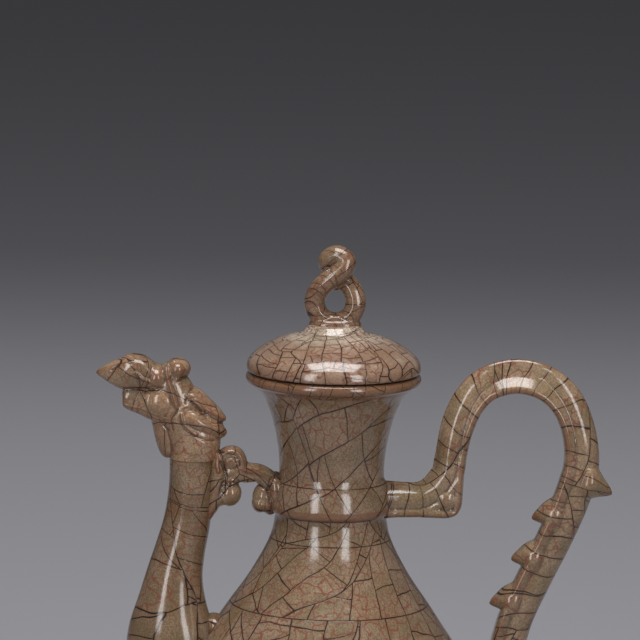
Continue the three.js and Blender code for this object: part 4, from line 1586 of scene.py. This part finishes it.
@dataclass
class Lid:
    """The loose domed lid, its collar, the pad on its crown and the knotted finial."""

    edge: float = 206.0
    radius: float = 32.35
    collar_outer: float = 19.81
    collar_inner: float = 17.2
    collar_depth: float = 7.6
    pad_radius: float = 9.5
    pad_top: float = 223.6
    rope: float = 3.85
    true_radius: float = 0.022
    knot_voxel: float = 0.00025
    knot_relax: int = 6

    def profile(self) -> list[Point]:
        """The lid's outline, from the middle of its hollow round to the middle of its pad."""
        e, r = self.edge, self.radius
        hollow = [(1.0, 217.2), (6.0, 217.2), (9.0, 216.6), (13.0, 214.4), (16.4, 211.2), (17.1, 209.6)]
        collar = [
            (self.collar_inner, e), (self.collar_inner, e - 0.8 * self.collar_depth),
            (self.collar_inner + 0.5, e - self.collar_depth),
            (self.collar_outer - 0.8, e - self.collar_depth),
            (self.collar_outer, e - 0.88 * self.collar_depth), (self.collar_outer, e - 0.3),
        ]
        ring = [(self.collar_outer + 0.3, e), (r - 4.0, e), (r - 2.0, e)]
        lip = arc((r - 1.1, e + 1.1), (1.1, 1.1), -70, 15, 6)
        dome = [
            (r - 0.08, e + 2.2), (r - 0.32, e + 3.4), (r - 1.1, e + 4.9), (29.6, 212.6), (26.6, 215.0),
            (22.6, 217.2), (18.2, 218.9), (14.8, 219.8), (12.7, 220.4), (11.6, 221.1), (10.75, 221.95),
            (10.1, 222.8),
        ]
        pad = arc((self.pad_radius - 0.8, self.pad_top - 0.8), (1.1, 0.8), 30, 90, 5)
        return hollow + collar + ring + lip + dome + pad + [(6.0, self.pad_top), (1.0, self.pad_top)]

    def knot_points(self) -> list[tuple[float, float, float]]:
        """The rope's way: a wide loop, a crossing, and a tight loop on top."""
        low = self.pad_top + self.rope - 3.0
        half = [
            (2.4, 0.0, low), (-1.6, 0.0, low), (-4.9, 0.0, low + 1.5), (-6.8, 0.0, low + 4.0),
            (-7.6, 0.0, 231.4), (-6.9, -0.7, 235.0), (-4.7, -1.9, 238.4), (-1.4, -2.5, 241.4),
            (2.1, -2.2, 244.4), (3.2, -1.2, 247.4),
        ]
        way = half + [(0.0, 0.0, 249.4)] + [(-x, -y, z) for x, y, z in reversed(half)]
        return [(x + 0.4 * min(max((z - 238) / 6, 0), 1), y, z) for x, y, z in way]

    def build(self) -> None:
        """Throws the lid and ties the knot on it."""
        profile = self.profile()
        outline = np.array(profile) * MM
        dome = Lathe(profile).build("lid")
        unroll_lathe(dome, self.true_radius, outline)
        mark_stain_and_shade(dome, reach=0.0018, full=0.0003)
        shade(dome, sharp=60)
        lip = int(np.argmax(outline[:, 0]))
        crackle = Crackle(
            net=0.026, strip=0.0054, rung=0.0068, lean=0.1, crossed=0.06, spurs=0.12, rusty=0.6, rust=0.0036,
            seam=math.pi * self.true_radius, shift=(0.2, 0.66),
            worn=((float(way_up(outline, self.true_radius)[lip]) - 0.0006, 0.0034),),
        )
        # Painted light: the lid's pale, olive and warm colours are a paler copy of the body glaze.
        glaze = CrackleGlaze(
            "lid_glaze_painted_light", crackle, line=0.00016,
            pale=(0.4, 0.322, 0.254), olive=(0.31, 0.248, 0.183), warm=(0.345, 0.258, 0.188),
        )
        dress(dome, glaze, Slot.CRACKLE, Body.LID, "lid_dome", "lid_collar", "finial_pad")
        self.knot()

    def knot(self) -> None:
        """Ties the finial's rope and glazes it."""
        lumps = [
            Rope(self.knot_points(), self.rope).build("rope"),
            Pellet((0.1, 0, 240.2), (4.0, 3.0, 4.0)).build("web"),
            Pellet((0.4, 0, 243.6), (5.6, 2.6, 3.0)).build("tie"),
            Pellet((0.2, 0, 223.6), (9.8, 5.8, 3.4)).build("knot_foot"),
        ]
        knot = fuse("finial", lumps, self.knot_voxel, self.knot_relax)
        for side in (-1, 1):
            dimple = [(side * 2.9, 244.9), (side * 2.8, 245.0)]
            Tooling([dimple], half_width=1.5, height=-1.1, facing=0.0, side=side).press(knot)
        finish_with(knot, "SMOOTH", factor=0.5, iterations=2)
        trim_below(knot, (self.pad_top - 1.0) * MM)
        unroll_side(knot)
        mark_stain_and_shade(knot, reach=0.0012, full=0.0004)
        shade(knot, sharp=50)
        crackle = Crackle(
            net=0.016, strip=0.0064, rung=0.0072, lean=0.9, spurs=0.2, rusty=0.7, rust=0.003,
            shift=(0.37, 0.29),
        )
        glaze = CrackleGlaze(
            "finial_glaze", crackle, line=0.00013,
            pale=(0.2, 0.128, 0.079), olive=(0.15, 0.098, 0.057), warm=(0.17, 0.094, 0.053),
        )
        dress(knot, glaze, Slot.THIN, Body.LID, "finial_knot")


def plain(name: str, colour: tuple[float, float, float], roughness: float) -> bpy.types.Material:
    """Makes the matt material of the floor.

    Args:
        name: The material's name.
        colour: Linear base colour.
        roughness: The shader's roughness.

    Returns:
        The material.
    """
    material = bpy.data.materials.new(name)
    material.use_nodes = True
    shader = material.node_tree.nodes["Principled BSDF"]
    shader.inputs["Base Color"].default_value = (*colour, 1.0)
    shader.inputs["Roughness"].default_value = roughness
    return material


@dataclass(frozen=True)
class Lamp:
    """A soft rectangular lamp that faces the ewer.

    azimuth is in degrees to the right of the camera and elevation in degrees above the ewer's middle.
    size is the width and height in metres, and radiance is the face's brightness, where 1 is a white
    surface. glossy tells whether the glaze mirrors the lamp.
    """

    name: str
    azimuth: float
    elevation: float
    size: Point
    radiance: float
    glossy: bool = True


@dataclass
class Studio:
    """Floor, lamps and camera."""

    photo_mm_per_pixel: float = 0.37
    photo_pixels: int = 640
    look_at: tuple[float, float, float] = (-0.0135, 0.0, 0.2251)
    elevation: float = math.radians(8.9)
    distance: float = 2.4
    roll: float = math.radians(1.2)
    sensor: float = 36.0
    floor_size: float = 30.0
    floor_colour: tuple[float, float, float] = (0.25, 0.248, 0.27)
    floor_roughness: float = 0.9
    lamp_aim: float = 0.17
    lamp_reach: float = 1.3
    lamps: tuple[Lamp, ...] = (
        Lamp("left_strip", -31.0, 18.0, (0.3, 0.92), 7.4),
        Lamp("right_strip", 31.0, 18.0, (0.3, 0.92), 7.4),
        Lamp("top_lamp", 0.0, 79.0, (0.95, 0.72), 9.2),
        Lamp("back_lamp", 180.0, 35.0, (1.6, 0.9), 1.2, glossy=False),
    )
    surround: tuple[float, float, float] = (0.60, 0.61, 0.64)
    surround_strength: float = 0.16

    def camera(self) -> None:
        """Adds the camera at the photograph's angle, rolled because the ewer leans a little there."""
        data = bpy.data.cameras.new("camera")
        data.sensor_width = self.sensor
        data.lens = self.sensor * self.distance / (self.photo_pixels * self.photo_mm_per_pixel * MM)
        data.clip_end = 50.0
        body = bpy.data.objects.new("camera", data)
        bpy.context.scene.collection.objects.link(body)
        away = Vector((0.0, -math.cos(self.elevation), math.sin(self.elevation)))
        upright = (-away).to_track_quat("-Z", "Y").to_matrix().to_4x4()
        place = Matrix.Translation(Vector(self.look_at) + away * self.distance)
        body.matrix_world = place @ upright @ Matrix.Rotation(self.roll, 4, "Z")
        bpy.context.scene.camera = body

    def floor(self) -> None:
        """Adds the plain floor."""
        bpy.ops.object.select_all(action="DESELECT")
        bpy.ops.mesh.primitive_plane_add(size=self.floor_size, location=(0.0, 0.0, 0.0))
        floor = bpy.context.object
        floor.name = "floor"
        floor.data.materials.append(plain("floor_paper", self.floor_colour, self.floor_roughness))

    def hang(self, lamp: Lamp) -> None:
        """Adds one lamp.

        Args:
            lamp: Where it stands and how bright it is.
        """
        data = bpy.data.lights.new(lamp.name, "AREA")
        data.shape = "RECTANGLE"
        data.size, data.size_y = lamp.size
        data.energy = lamp.radiance * math.pi * lamp.size[0] * lamp.size[1]
        body = bpy.data.objects.new(lamp.name, data)
        bpy.context.scene.collection.objects.link(body)
        a, e = math.radians(lamp.azimuth), math.radians(lamp.elevation)
        away = Vector((math.sin(a) * math.cos(e), -math.cos(a) * math.cos(e), math.sin(e)))
        body.location = Vector((AXIS_X, 0.0, self.lamp_aim)) + away * self.lamp_reach
        body.rotation_euler = (-away).to_track_quat("-Z", "Y").to_euler()
        body.visible_glossy = lamp.glossy

    def lights(self) -> None:
        """Adds the lamps and the grey surround."""
        for lamp in self.lamps:
            self.hang(lamp)
        world = bpy.data.worlds.new("surround")
        bpy.context.scene.world = world
        world.use_nodes = True
        world.node_tree.nodes["Background"].inputs["Color"].default_value = (*self.surround, 1.0)
        world.node_tree.nodes["Background"].inputs["Strength"].default_value = self.surround_strength


def main() -> None:
    """Builds the scene in order."""
    studio = Studio()
    studio.camera()
    studio.floor()
    studio.lights()
    vessel, spout = Vessel(), Spout()
    clay = vessel.clay()
    bore = spout.bore()
    vessel.build(bore)
    spout.build(clay, bore)
    Bridge().build(clay)
    Handle().build(clay)
    Lid().build()
    bpy.data.objects.remove(clay)
    bpy.context.scene.view_settings.view_transform = "Standard"


if __name__ == "__main__":
    main()
